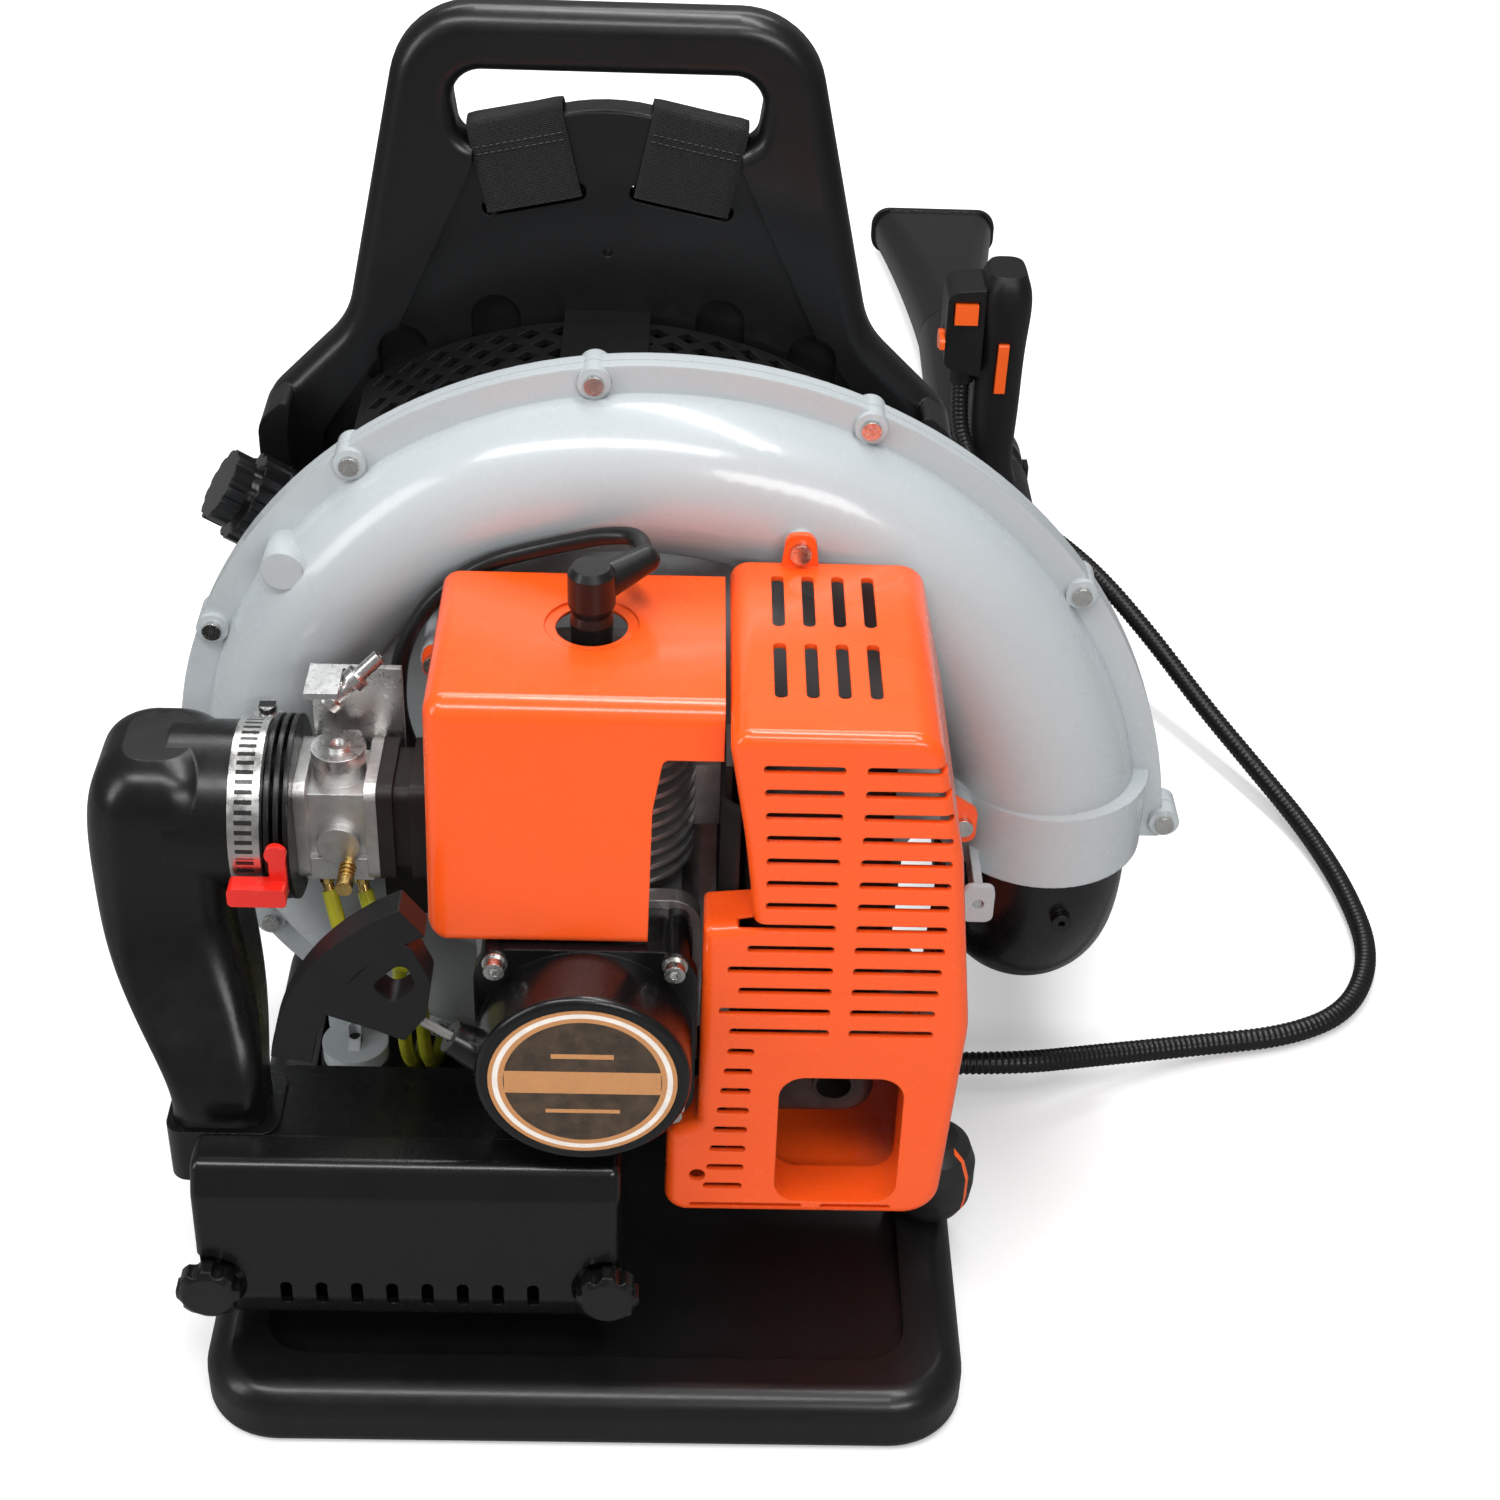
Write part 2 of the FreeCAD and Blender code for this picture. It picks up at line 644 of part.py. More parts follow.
def housing_half(front):
    """Half of the volute: scroll wall, flat centre, flange with screw bosses, half the outlet."""
    centre = V(0, 0, CRANK_Z)
    if front:
        half_space = box(-300, 300, -50, SPLIT_Y, 0, 500)
        posts, post_bores = cover_posts()
        solids = housing_feet() + posts + cast_lugs()
        solids += [spiral_disc(-FLANGE_W - 20, MOUNT_PLATE_Y, SPLIT_Y - MOUNT_PLATE_Y),
                  spiral_disc(0, SPLIT_Y - FLANGE_T, FLANGE_T),
                  cyl(centre + Y_AXIS * (MOUNT_PLATE_Y - 14), Y_AXIS, CASE_R + 14, 14)]
        hollows = [spiral_disc(-FLANGE_W - 24, MOUNT_PLATE_Y + MOUNT_PLATE_T, 20),
                   cyl(centre + Y_AXIS * (MOUNT_PLATE_Y - 20), Y_AXIS, SHAFT_R + 12, 40)] + post_bores
    else:
        half_space = box(-300, 300, SPLIT_Y, 200, 0, 500)
        depth = INTAKE_FACE_Y - SPLIT_Y
        face = centre + Y_AXIS * INTAKE_FACE_Y
        solids = [cyl(centre + Y_AXIS * SPLIT_Y, Y_AXIS, FAN_R + 10, depth),
                  spiral_disc(0, SPLIT_Y, FLANGE_T),
                  cyl(face, Y_AXIS, INTAKE_R + 5, 5)]
        hollows = [cyl(centre + Y_AXIS * (SPLIT_Y - 1), Y_AXIS, FAN_R + 6, depth - 3),
                   cyl(centre + Y_AXIS * SPLIT_Y, Y_AXIS, INTAKE_R, 80)]
    mouth = V(OUTLET_X, SPLIT_Y, OUTLET_Z)
    solids += [cyl(mouth, Z_AXIS, OUTLET_R + COLLAR_T, COLLAR_H)]
    solids += bosses(FLANGE_W / 2 + 1, SPLIT_Y - 9 if front else SPLIT_Y, 9)
    hollows += [cyl(mouth - Z_AXIS, Z_AXIS, OUTLET_BORE_R, ELBOW_SEAT + 1)]
    hollows += bosses(SCREW_R, SPLIT_Y - 20, 40)
    body = scroll(0).common(half_space)
    for solid in solids:
        body = body.fuse(solid)
    body = body.common(half_space).cut(scroll(HOUSING_WALL).common(half_space))
    for hollow in hollows:
        body = body.cut(hollow)
    return body


def housing_feet():
    """Two cast feet that carry the housing on its lower rubber mounts."""
    feet = []
    top = PAD_TOP + DAMPER_H
    for (x, y), inner_x, reach in zip(DAMPER_SPOTS, (-70, 62), (60, 46)):
        side = 1 if x > 0 else -1
        web = prism([(x + side * 15, top, 3), (x + side * 15, top + 12, 8), (inner_x, top + reach + 12),
                     (inner_x, top + 4), (x - side * 15, top)], "XZ", SPLIT_Y - 8, 8)
        pad = cyl(V(x, y, top), Z_AXIS, DAMPER_R - 1, 8)
        bridge = box(x - 13, x + 13, y, SPLIT_Y, top, top + 8)
        rib = prism([(y - 10, top + 6), (SPLIT_Y, top + 6), (SPLIT_Y, top + 34)], "YZ", x - 3, 6)
        foot = fuse([web, pad, bridge, rib])
        feet.append(foot.cut(cyl(V(x, y, top - 1), Z_AXIS, STUD_R + FIT, 20)))
    return feet


def vibration_mounts():
    """Rubber mounts with studs under the housing, others behind it, and the side buffer."""
    made = []
    for x, y in DAMPER_SPOTS:
        rubber = turned([(0, 0), (DAMPER_R, 0), (DAMPER_R, 4), (DAMPER_R - 3, 9),
                         (DAMPER_R - 3, DAMPER_H - 9), (DAMPER_R, DAMPER_H - 4), (DAMPER_R, DAMPER_H),
                         (0, DAMPER_H)], V(x, y, PAD_TOP), Z_AXIS)
        stud = cyl(V(x, y, PAD_TOP - 12), Z_AXIS, STUD_R, DAMPER_H + 22)
        made.append(fuse([rubber, stud]))
    for x, z in REAR_DAMPERS:
        made.append(cyl(V(x, INTAKE_FACE_Y, z), Y_AXIS, REAR_DAMPER_R, PLATE_Y + DISH_T - INTAKE_FACE_Y))
    add("rubber_mounts", Part.makeCompound(made))
    buffer_ = turned([(0, 0), (BUFFER_R - 4, 0), (BUFFER_R - 1, 6), (BUFFER_R, 14), (BUFFER_R, 26),
                      (BUFFER_R - 3, 35), (BUFFER_R - 9, 40), (0, 41)], V(BUFFER_X, BUFFER_Y, BASE_H),
                     Z_AXIS)
    add("side_buffer", buffer_)


def fan_housing():
    add("volute_front", housing_half(True))
    add("volute_rear", housing_half(False))


def fan():
    """Centrifugal impeller: hub, back disc, backward-curved blades and front shroud ring."""
    hub_len = FAN_Y1 - FAN_Y0 - 14
    hub = cyl(V(0, FAN_Y0, CRANK_Z), Y_AXIS, 22, hub_len)
    disc = cyl(V(0, FAN_Y0, CRANK_Z), Y_AXIS, FAN_R, 3)
    shroud = ring(V(0, FAN_Y1 - 3, CRANK_Z), Y_AXIS, FAN_R, INTAKE_R - 2, 3)
    blades = []
    for i in range(FAN_BLADES):
        turn = 360.0 * i / FAN_BLADES
        foot = polar(turn, 62, FAN_Y0)
        middle = polar(turn + 10, 92, FAN_Y0)
        tip = polar(turn + 26, FAN_R, FAN_Y0)
        arc = Part.Arc(foot, middle, tip).toShape()
        face = arc.extrude(Y_AXIS * (FAN_Y1 - FAN_Y0))
        blades.append(face.makeOffsetShape(FAN_BLADE_T, 1e-3, fill=True))
    solid = fuse([hub, disc, shroud] + blades)
    solid = solid.common(cyl(V(0, FAN_Y0, CRANK_Z), Y_AXIS, FAN_R, FAN_Y1 - FAN_Y0))
    add("fan_impeller", solid.cut(cyl(V(0, 0, CRANK_Z), Y_AXIS, SHAFT_R, 200)))


# ---------------------------------------------------------------- intake guard and fuel tank


def sector(a0, a1, radius, y, depth):
    """Pie slice about the crankshaft between two angles."""
    middle = (a0 + a1) / 2
    arc = Part.Arc(polar(a0, radius, y), polar(middle, radius, y), polar(a1, radius, y)).toShape()
    hub = polar(0, 0, y)
    edges = [Part.makeLine(hub, arc.Vertexes[0].Point), arc,
             Part.makeLine(arc.Vertexes[-1].Point, hub)]
    return Part.Face(Part.Wire(edges)).extrude(Y_AXIS * depth)


def intake_guard():
    """Curved lattice band closing the gap between housing and back plate over the air inlet."""
    depth = GUARD_Y1 - GUARD_Y0
    band = sector(GUARD_A0, GUARD_A1, GUARD_R, GUARD_Y0, depth)
    band = band.cut(cyl(V(0, GUARD_Y0 - 1, CRANK_Z), Y_AXIS, GUARD_R - GUARD_T, depth + 2))
    pitch = (GUARD_A1 - GUARD_A0) / GUARD_COLS
    row = depth / (GUARD_ROWS + 0.6)
    tools = []
    for j in range(GUARD_ROWS):
        shift = 0.5 * (j % 2)
        for i in range(GUARD_COLS - 1):
            angle = GUARD_A0 + pitch * (i + 0.75 + shift)
            y = GUARD_Y0 + row * (j + 0.8)
            diamond = prism([(-row * 0.46, 0), (0, -5.8), (row * 0.46, 0), (0, 5.8)], "XY", -6, 12)
            diamond.rotate(V(0, 0, 0), Z_AXIS, 90)
            diamond.Placement = FreeCAD.Placement(
                polar(angle, GUARD_R, y), FreeCAD.Rotation(Y_AXIS, 90 - angle)).multiply(
                    diamond.Placement)
            tools.append(diamond)
    band = cut(band, tools)
    tab = box(-19, 19, GUARD_Y0, PLATE_Y + DISH_T, CRANK_Z + GUARD_R - 4, CRANK_Z + GUARD_R + 3)
    add("intake_guard", fuse([band, tab]))


def fuel_tank():
    """Flat saddle tank around the air inlet, with a raised left arm that carries the filler neck."""
    depth = TANK_Y1 - TANK_Y0
    body = sector(TANK_A0, TANK_A1, TANK_R_OUT, TANK_Y0, depth)
    body = body.common(box(-TANK_SIDE, TANK_SIDE, 0, 200, TANK_LOW, 400))
    body = body.cut(cyl(V(0, TANK_Y0 - 1, CRANK_Z), Y_AXIS, TANK_R_IN, depth + 2))
    body = body.makeFillet(6.0, level_edges(body, "Y", TANK_Y0) + level_edges(body, "Y", TANK_Y1))
    neck = cyl(NECK_POS - NECK_DIR * 26, NECK_DIR, NECK_R, 30)
    collar = cyl(NECK_POS - NECK_DIR * 4, NECK_DIR, CAP_R, 3.5)
    bore = cyl(NECK_POS - NECK_DIR * 20, NECK_DIR, NECK_R - 3, 60)
    add("fuel_tank", fuse([body, neck, collar]).cut(bore))


def fuel_cap():
    """Ribbed screw cap with a smaller lobed top."""
    skirt = cyl(NECK_POS + NECK_DIR * FIT, NECK_DIR, CAP_R, 17)
    skirt = skirt.cut(cyl(NECK_POS, NECK_DIR, NECK_R + FIT, 8))
    waist = cyl(NECK_POS + NECK_DIR * 17, NECK_DIR, 14, 4)
    top = cyl(NECK_POS + NECK_DIR * 20, NECK_DIR, 17, 9)
    grooves = []
    for i in range(12):
        bar = cyl(V(CAP_R + 1.4, 0, 4), Z_AXIS, 3.2, 16)
        bar.rotate(V(0, 0, 0), Z_AXIS, 30 * i)
        grooves.append(placed_on(bar, NECK_POS, NECK_DIR))
        small = cyl(V(18.2, 0, 19), Z_AXIS, 2.6, 12)
        small.rotate(V(0, 0, 0), Z_AXIS, 30 * i + 15)
        grooves.append(placed_on(small, NECK_POS, NECK_DIR))
    add("fuel_cap", cut(fuse([skirt, waist, top]), grooves))


def placed_on(shape, pos, axis):
    """Carry a shape that was already turned in its own frame onto an axis."""
    moved = shape.copy()
    moved.Placement = FreeCAD.Placement(pos, FreeCAD.Rotation(Z_AXIS, axis)).multiply(
        shape.Placement)
    return moved


def flange_screws():
    """Pan-head screws through the flange bosses and the nuts behind them."""
    screws = []
    for spot in boss_spots(0):
        head = cyl(spot + Y_AXIS * (SPLIT_Y - 9 - 2.6), Y_AXIS, 4.2, 2.6)
        shank = cyl(spot + Y_AXIS * (SPLIT_Y - 9), Y_AXIS, SCREW_R - FIT, 19)
        nut = cyl(spot + Y_AXIS * (SPLIT_Y + 9), Y_AXIS, 3.8, 3)
        screws.append(fuse([head, shank, nut]))
    return screws


# ---------------------------------------------------------------- engine
def crankcase():
    """Crankcase barrel with cylinder seat, mounting flange and side ribs."""
    length = MOUNT_PLATE_Y - 14 - CASE_FRONT_Y
    barrel = cyl(V(0, CASE_FRONT_Y, CRANK_Z), Y_AXIS, CASE_R, length)
    seat = box(-34, 34, CYL_Y - 34, CYL_Y + 34, CRANK_Z, DECK_Z - 2)
    deck = box(-38, 38, CYL_Y - 36, CYL_Y + 36, DECK_Z - 6, DECK_Z)
    trim = box(-CASE_R, CASE_R, CYL_Y - 40, CYL_Y + 40, DECK_Z, DECK_Z + 20)
    flange = cyl(V(0, MOUNT_PLATE_Y - 22, CRANK_Z), Y_AXIS, CASE_R + 12, 8)
    face = prism(rect(-46, 46, CRANK_Z - 48, CRANK_Z + 48, 12), "XZ", CASE_FRONT_Y, 8)
    feet = [box(x - 9, x + 9, CYL_Y - 30, CYL_Y + 26, CRANK_Z - CASE_R - 16, CRANK_Z - 20)
            for x in (-30, 30)]
    body = fuse([barrel.cut(trim), seat, deck, flange, face] + feet)
    tunnel = cyl(V(0, CASE_FRONT_Y - 1, CRANK_Z), Y_AXIS, BEARING_R, length + 30)
    flywheel_room = cyl(V(0, CASE_FRONT_Y - 1, CRANK_Z), Y_AXIS, FLYWHEEL_R + 2,
                        FLYWHEEL_T + VANE_H + 4)
    add("crankcase", cut(body, [tunnel, flywheel_room]))


def cylinder():
    """Finned cylinder: core, cooling fins, head and spark-plug seat."""
    parts = [cyl(V(0, CYL_Y, DECK_Z), Z_AXIS, CORE_R, HEAD_TOP_Z - 4 - DECK_Z)]
    for i in range(FIN_COUNT):
        z = FIN_Z0 + i * FIN_PITCH
        half = FIN_R - (3 if i > FIN_COUNT - 3 else 0)
        parts.append(prism(rect(-half, half, CYL_Y - half, CYL_Y + half, half * 0.72), "XY", z,
                           FIN_T))
    parts.append(box(PORT_X + 4, 0, CARB_Y - PORT_HALF, CARB_Y + PORT_HALF, DECK_Z + 1, CARB_Z + 16))
    parts.append(box(PORT_X, PORT_X + 6, CARB_Y - 20, CARB_Y + 20, CARB_Z - 22, CARB_Z + 22))
    parts.append(box(0, MUFFLER_X0, CARB_Y - PORT_HALF, CARB_Y + PORT_HALF, EXHAUST_Z0, EXHAUST_Z1))
    seat = cyl(V(0, CYL_Y, HEAD_TOP_Z - 12), Z_AXIS, 7 + RUN, 20)
    port = cyl(V(PORT_X - 5, CARB_Y, CARB_Z), X_AXIS, BORE_R, 45)
    add("cylinder", cut(fuse(parts), [seat, port]))


def rotor():
    """Crankshaft, its bearings and the flywheel with cooling vanes."""
    start = CASE_FRONT_Y - 4
    shaft = cyl(V(0, start, CRANK_Z), Y_AXIS, SHAFT_R, FAN_Y1 - 8 - start)
    webs = cyl(V(0, CYL_Y - 16, CRANK_Z), Y_AXIS, BEARING_R - 2.5, 32)
    nut = cyl(V(0, FAN_Y1 - 14 + FIT, CRANK_Z), Y_AXIS, 11, 7)
    add("crankshaft", fuse([shaft, webs, nut]))
    bearings = []
    for y in (CYL_Y - 30, CYL_Y + 24):
        bearings.append(ring(V(0, y, CRANK_Z), Y_AXIS, BEARING_R, SHAFT_R + RUN, 10))
    add("crank_bearings", Part.makeCompound(bearings))
    wheel_y = CASE_FRONT_Y + VANE_H + 1.5
    wheel = ring(V(0, wheel_y, CRANK_Z), Y_AXIS, FLYWHEEL_R, SHAFT_R, FLYWHEEL_T)
    vanes = []
    for i in range(12):
        vane = box(16, FLYWHEEL_R - 1, -1.2, 1.2, 0, VANE_H)
        vane.rotate(V(0, 0, 0), Z_AXIS, 30 * i)
        vanes.append(placed_on(vane, V(0, wheel_y, CRANK_Z), V(0, -1, 0)))
    add("flywheel", fuse([wheel] + vanes))


# ---------------------------------------------------------------- starter
PULL_DIR = V(-math.cos(math.radians(PULL_ANGLE)), 0, math.sin(math.radians(PULL_ANGLE)))
PULL_SIDE = V(-PULL_DIR.z, 0, PULL_DIR.x)          # from the reel's axis towards the rope


def on_pull(distance, y=PULL_Y):
    """Point on the rope's line, measured from where it leaves the reel."""
    return V(0, y, CRANK_Z) + PULL_SIDE * REEL_R + PULL_DIR * distance


def bolt_spots():
    return [V(sx * STARTER_BOLT_X, 0, CRANK_Z + sz * STARTER_BOLT_Z)
            for sx in (-1, 1) for sz in (-1, 1)]


def starter():
    """Recoil starter: housing, label disc, rope reel, recoil spring, grip, rope and bolts."""
    plate = prism(rect(-45, 45, CRANK_Z - 48, CRANK_Z + 44.2, 16), "XZ", STARTER_PLATE_Y, 6)
    skirt = prism(rect(-43, 43, CRANK_Z - 44, CRANK_Z + 44, 14), "XZ", STARTER_PLATE_Y,
                  CASE_FRONT_Y - STARTER_PLATE_Y)
    drum = cyl(V(0, STARTER_FACE_Y, CRANK_Z), Y_AXIS, STARTER_R, STARTER_PLATE_Y - STARTER_FACE_Y)
    drum = drum.makeFillet(3.0, level_edges(drum, "Y", STARTER_FACE_Y))
    guide = placed(Part.makeCone(9.5, 7.0, GUIDE_OUT - 26), on_pull(26), PULL_DIR)
    legs = [cyl(p + Y_AXIS * (STARTER_PLATE_Y - 1), Y_AXIS, 5.8, CASE_FRONT_Y - STARTER_PLATE_Y + 1)
            for p in bolt_spots()]
    post = cyl(V(0, STARTER_FACE_Y + 1.5, CRANK_Z), Y_AXIS, SHAFT_R - FIT,
               REEL_Y0 + 13 - STARTER_FACE_Y)
    body = fuse([plate, skirt, drum, guide] + legs)
    room = cyl(V(0, REEL_Y0 - 1, CRANK_Z), Y_AXIS, REEL_FLANGE_R + 2, CASE_FRONT_Y + 1 - REEL_Y0)
    rope_hole = cyl(on_pull(-2), PULL_DIR, ROPE_R + 0.7, GUIDE_OUT + 6)
    label_seat = cyl(V(0, STARTER_FACE_Y - 0.1, CRANK_Z), Y_AXIS, LABEL_R + FIT, 1.1)
    holes = [cyl(p + Y_AXIS * (STARTER_PLATE_Y - 2), Y_AXIS, SCREW_R + 0.3, 40) for p in bolt_spots()]
    add("starter_housing", cut(body, [room, rope_hole, label_seat] + holes).fuse(post))
    add("starter_label", cyl(V(0, STARTER_FACE_Y + 0.2, CRANK_Z), Y_AXIS, LABEL_R, 0.8))
    reel = turned([(SHAFT_R, 0), (REEL_FLANGE_R, 0), (REEL_FLANGE_R, 2), (REEL_R - ROPE_R, 3),
                   (REEL_R - ROPE_R, 8.6), (REEL_FLANGE_R, 9.6), (REEL_FLANGE_R, 11.6),
                   (SHAFT_R, 11.6)], V(0, REEL_Y0 + FIT, CRANK_Z), Y_AXIS)
    coil_y = REEL_Y0 + 11.6 + FIT
    coils = [ring(V(0, coil_y, CRANK_Z), Y_AXIS, r + 1.0, r, 6) for r in (12, 17, 22, 27)]
    coils.append(box(12.5, 27.5, coil_y, coil_y + 2, CRANK_Z - 1, CRANK_Z + 1))
    add("starter_reel", fuse([reel] + coils))


def starter_bolts():
    """Socket-head bolts with washers at the starter's corners."""
    bolts = []
    for p in bolt_spots():
        washer = cyl(p + Y_AXIS * (STARTER_PLATE_Y - 2.5), Y_AXIS, 5.2, 1.5)
        head = cyl(p + Y_AXIS * (STARTER_PLATE_Y - 7.5), Y_AXIS, 4.2, 5.2)
        socket = prism([(2.2 * math.cos(math.pi * k / 3), 2.2 * math.sin(math.pi * k / 3))
                        for k in range(6)], "XZ", STARTER_PLATE_Y - 8, 3.2)
        socket.translate(p)
        shank = cyl(p + Y_AXIS * (STARTER_PLATE_Y - 2.5), Y_AXIS, SCREW_R, 27)
        bolts.append(fuse([washer, head, shank]).cut(socket))
    return bolts


REEL_Y0 = PULL_Y - 6.1


def starter_grip():
    """Bowed pull grip with a finger hole beside its stem, and the rope that runs to the reel."""
    length, thick = 94.0, 15.0
    bow = 12.0
    half = length / 2
    outer = Part.Arc(V(-half, 0, 0), V(0, 0, bow), V(half, 0, 0)).toShape()
    inner = Part.Arc(V(half - 5, 0, -thick), V(0, 0, bow - thick - 1), V(-half + 7, 0, -thick)).toShape()
    edges = [outer, Part.makeLine(V(half, 0, 0), V(half - 5, 0, -thick)), inner,
             Part.makeLine(V(-half + 7, 0, -thick), V(-half, 0, 0))]
    bar = Part.Face(Part.Wire(edges)).extrude(Y_AXIS * GRIP_T)
    stem = prism([(-16, -2, 3), (38, -8, 6), (24, -30, 8), (8, -GRIP_STEM, 1), (-8, -GRIP_STEM, 1),
                  (-10, -26, 6)], "XZ", 0, GRIP_T)
    hole = prism([(8, -12, 4), (28, -15, 4), (18, -27, 4), (6, -24, 4)], "XZ", -1, GRIP_T + 2)
    grip = fuse([bar, stem]).cut(hole)
    grip.translate(V(0, -GRIP_T / 2, GRIP_STEM))
    frame = FreeCAD.Matrix()
    side = V(-PULL_SIDE.x, 0, -PULL_SIDE.z)
    frame.A11, frame.A21, frame.A31 = side.x, side.y, side.z
    frame.A12, frame.A22, frame.A32 = 0, 1, 0
    frame.A13, frame.A23, frame.A33 = PULL_DIR.x, PULL_DIR.y, PULL_DIR.z
    foot = on_pull(GRIP_OUT)
    grip.Placement = FreeCAD.Placement(frame).multiply(grip.Placement)
    grip.translate(foot)
    grip = grip.cut(cyl(foot - PULL_DIR, PULL_DIR, ROPE_R + FIT, 13))
    add("starter_grip", grip)
    add("starter_rope", cyl(on_pull(4), PULL_DIR, ROPE_R, GRIP_OUT + 7))


# ---------------------------------------------------------------- ignition and exhaust
def plug_and_coil():
    """Spark plug, rubber boot with side outlet, ignition coil and the high-tension lead."""
    hex_body = prism([(9.2 * math.cos(math.pi * k / 3), CYL_Y + 9.2 * math.sin(math.pi * k / 3))
                      for k in range(6)], "XY", HEAD_TOP_Z - 3, 8)
    plug = fuse([cyl(V(0, CYL_Y, HEAD_TOP_Z - 11), Z_AXIS, 7, 12), hex_body,
                 cyl(V(0, CYL_Y, HEAD_TOP_Z + 4), Z_AXIS, 5, 16)])
    add("spark_plug", plug)
    barrel = turned([(0, 0), (8.2, 0), (8.8, 12), (8.0, 16), (9.6, 20), (9.6, 34), (7.5, 37), (0, 37)],
                    V(0, CYL_Y, BOOT_Z), Z_AXIS)
    arm = placed(Part.makeCone(8.0, 5.8, (LEAD_START - ARM_FOOT).Length), ARM_FOOT,
                 LEAD_START - ARM_FOOT)
    tip = Part.makeSphere(5.8, LEAD_START)
    socket = cyl(V(0, CYL_Y, BOOT_Z - 1), Z_AXIS, 5 + FIT, 18)
    socket_hex = cyl(V(0, CYL_Y, BOOT_Z - 1), Z_AXIS, 9.2, 0.4)
    lead_seat = cyl(LEAD_START, LEAD_DIR, LEAD_R, 12)
    boot = fuse([barrel, arm, tip]).cut(fuse([socket, socket_hex, lead_seat]))
    coil = prism(rect(-92, -60, 178, 214, 5), "XZ", -16, 22)
    tower = cyl(V(-76, -5, 212), Z_AXIS, 7, 14)
    core = box(-66, -48, -12, 2, 186, 206)
    add("ignition_coil", fuse([coil, tower, core]))
    add("ignition_lead", Part.makeCompound([boot, ignition_lead()]))


BOOT_Z = HEAD_TOP_Z + 9.0
ARM_FOOT = V(2, CYL_Y + 2, BOOT_Z + 27)
LEAD_START = V(21, -18, BOOT_Z + 31)
LEAD_DIR = V(-0.15, 0.98, 0.0).normalize()


def ignition_lead():
    """High-tension lead: out of the boot, back over the cover, round its left side to the coil."""
    points = [LEAD_START, LEAD_START + LEAD_DIR * 18, V(4, LEAD_Y - 3, 361), V(-20, LEAD_Y, 353),
              V(-46, LEAD_Y, 345), V(-68, LEAD_Y, 328), V(-83, LEAD_Y - 1, 302),
              V(-85, LEAD_Y - 6, 272), V(-76, -5, 250), V(-76, -5, 226)]
    solid, wire, radii, share = pipe(points, LEAD_R)
    print("ignition lead: length %.0f, radii %s, volume share %.4f" % (wire.Length, radii, share))
    return solid


def muffler():
    """Box silencer with rounded seams, an inlet flange and a round outlet stub facing the window."""
    body = prism(rect(MUFFLER_X0 + 5, MUFFLER_X1 - 8, 132, 300, 14), "XZ", -92, 78)
    body = body.makeFillet(6.0, level_edges(body, "Y", -92) + level_edges(body, "Y", -14))
    seam = prism(rect(MUFFLER_X0 + 2, MUFFLER_X1 - 5, 129, 303, 14), "XZ", -56, 4)
    inlet = box(MUFFLER_X0, MUFFLER_X0 + 6, CARB_Y - PORT_HALF, CARB_Y + PORT_HALF, EXHAUST_Z0, EXHAUST_Z1)
    stub = cyl(V(104, -99, 156), Y_AXIS, 9.0, 10)
    bore = cyl(V(104, -100, 156), Y_AXIS, 7.4, 22)
    add("muffler", fuse([body, seam, inlet, stub]).cut(bore))


# ---------------------------------------------------------------- covers
def cylinder_cover():
    """Moulded cover over the cylinder: flat top, leaning front face, open back, bottom and right."""
    x0, x1 = CYL_COVER_X0, CYL_COVER_X1
    side = [(CYL_COVER_BACK, CYL_COVER_TOP), (CYL_COVER_FRONT, CYL_COVER_TOP, 9),
            (CYL_COVER_LIP, CYL_COVER_LOW, 4), (-66, CYL_COVER_LOW, 10), (-60, CYL_COVER_LOW + 24, 14),
            (CYL_COVER_BACK, CYL_COVER_LOW + 34)]
    outer = prism(side, "YZ", x0, x1 - x0)
    rim = [e for e in level_edges(outer, "X", x0)
           if e.CenterOfMass.z > CYL_COVER_TOP - 6 or e.CenterOfMass.y < -88]
    outer = outer.makeFillet(8.0, rim)
    t = COVER_T
    inner = [(CYL_COVER_BACK + 1, CYL_COVER_TOP - t), (CYL_COVER_FRONT + t, CYL_COVER_TOP - t, 7),
             (CYL_COVER_LIP + t - 2, CYL_COVER_LOW - 20), (CYL_COVER_BACK + 1, CYL_COVER_LOW - 20)]
    shell = outer.cut(prism(inner, "YZ", x0 + t, x1 - x0))
    plug_hole = cyl(V(0, CYL_Y, CYL_COVER_TOP - 20), Z_AXIS, 14.5, 40)
    window = prism([(30, CYL_COVER_TOP - 22, 3), (x1 + 5, CYL_COVER_TOP - 22), (x1 + 5, 200),
                    (24, 200), (26, 300, 30)], "XZ", CYL_COVER_LIP - 5, 80)
    window_low = prism([(30, CYL_COVER_TOP - 22), (x1 + 5, CYL_COVER_TOP - 22), (x1 + 5, 200),
                        (30, 200)], "XZ", -36, 60)
    lug = prism([(x0 + 2, 310, 1), (x0 + 2, 290, 1), (x0 - 10, 294, 5), (x0 - 10, 306, 5)], "XZ",
                CYL_COVER_BACK - 3, 3)
    lug_hole = cyl(V(x0 - 5, CYL_COVER_BACK - 5, 300), Y_AXIS, SCREW_R, 10)
    dish = cyl(V(0, CYL_Y, CYL_COVER_TOP - 1.2), Z_AXIS, 19, 5)
    inlet_notch = prism([(CARB_Y - 23, CYL_COVER_LOW - 10), (CARB_Y + 50, CYL_COVER_LOW - 10),
                         (CARB_Y + 50, CARB_Z + 25, 1), (CARB_Y - 23, CARB_Z + 25, 6)], "YZ", x0 - 5, 20)
    shell = cut(shell, [dish, plug_hole, window, window_low, inlet_notch])
    add("cylinder_cover", fuse([shell, lug]).cut(lug_hole))


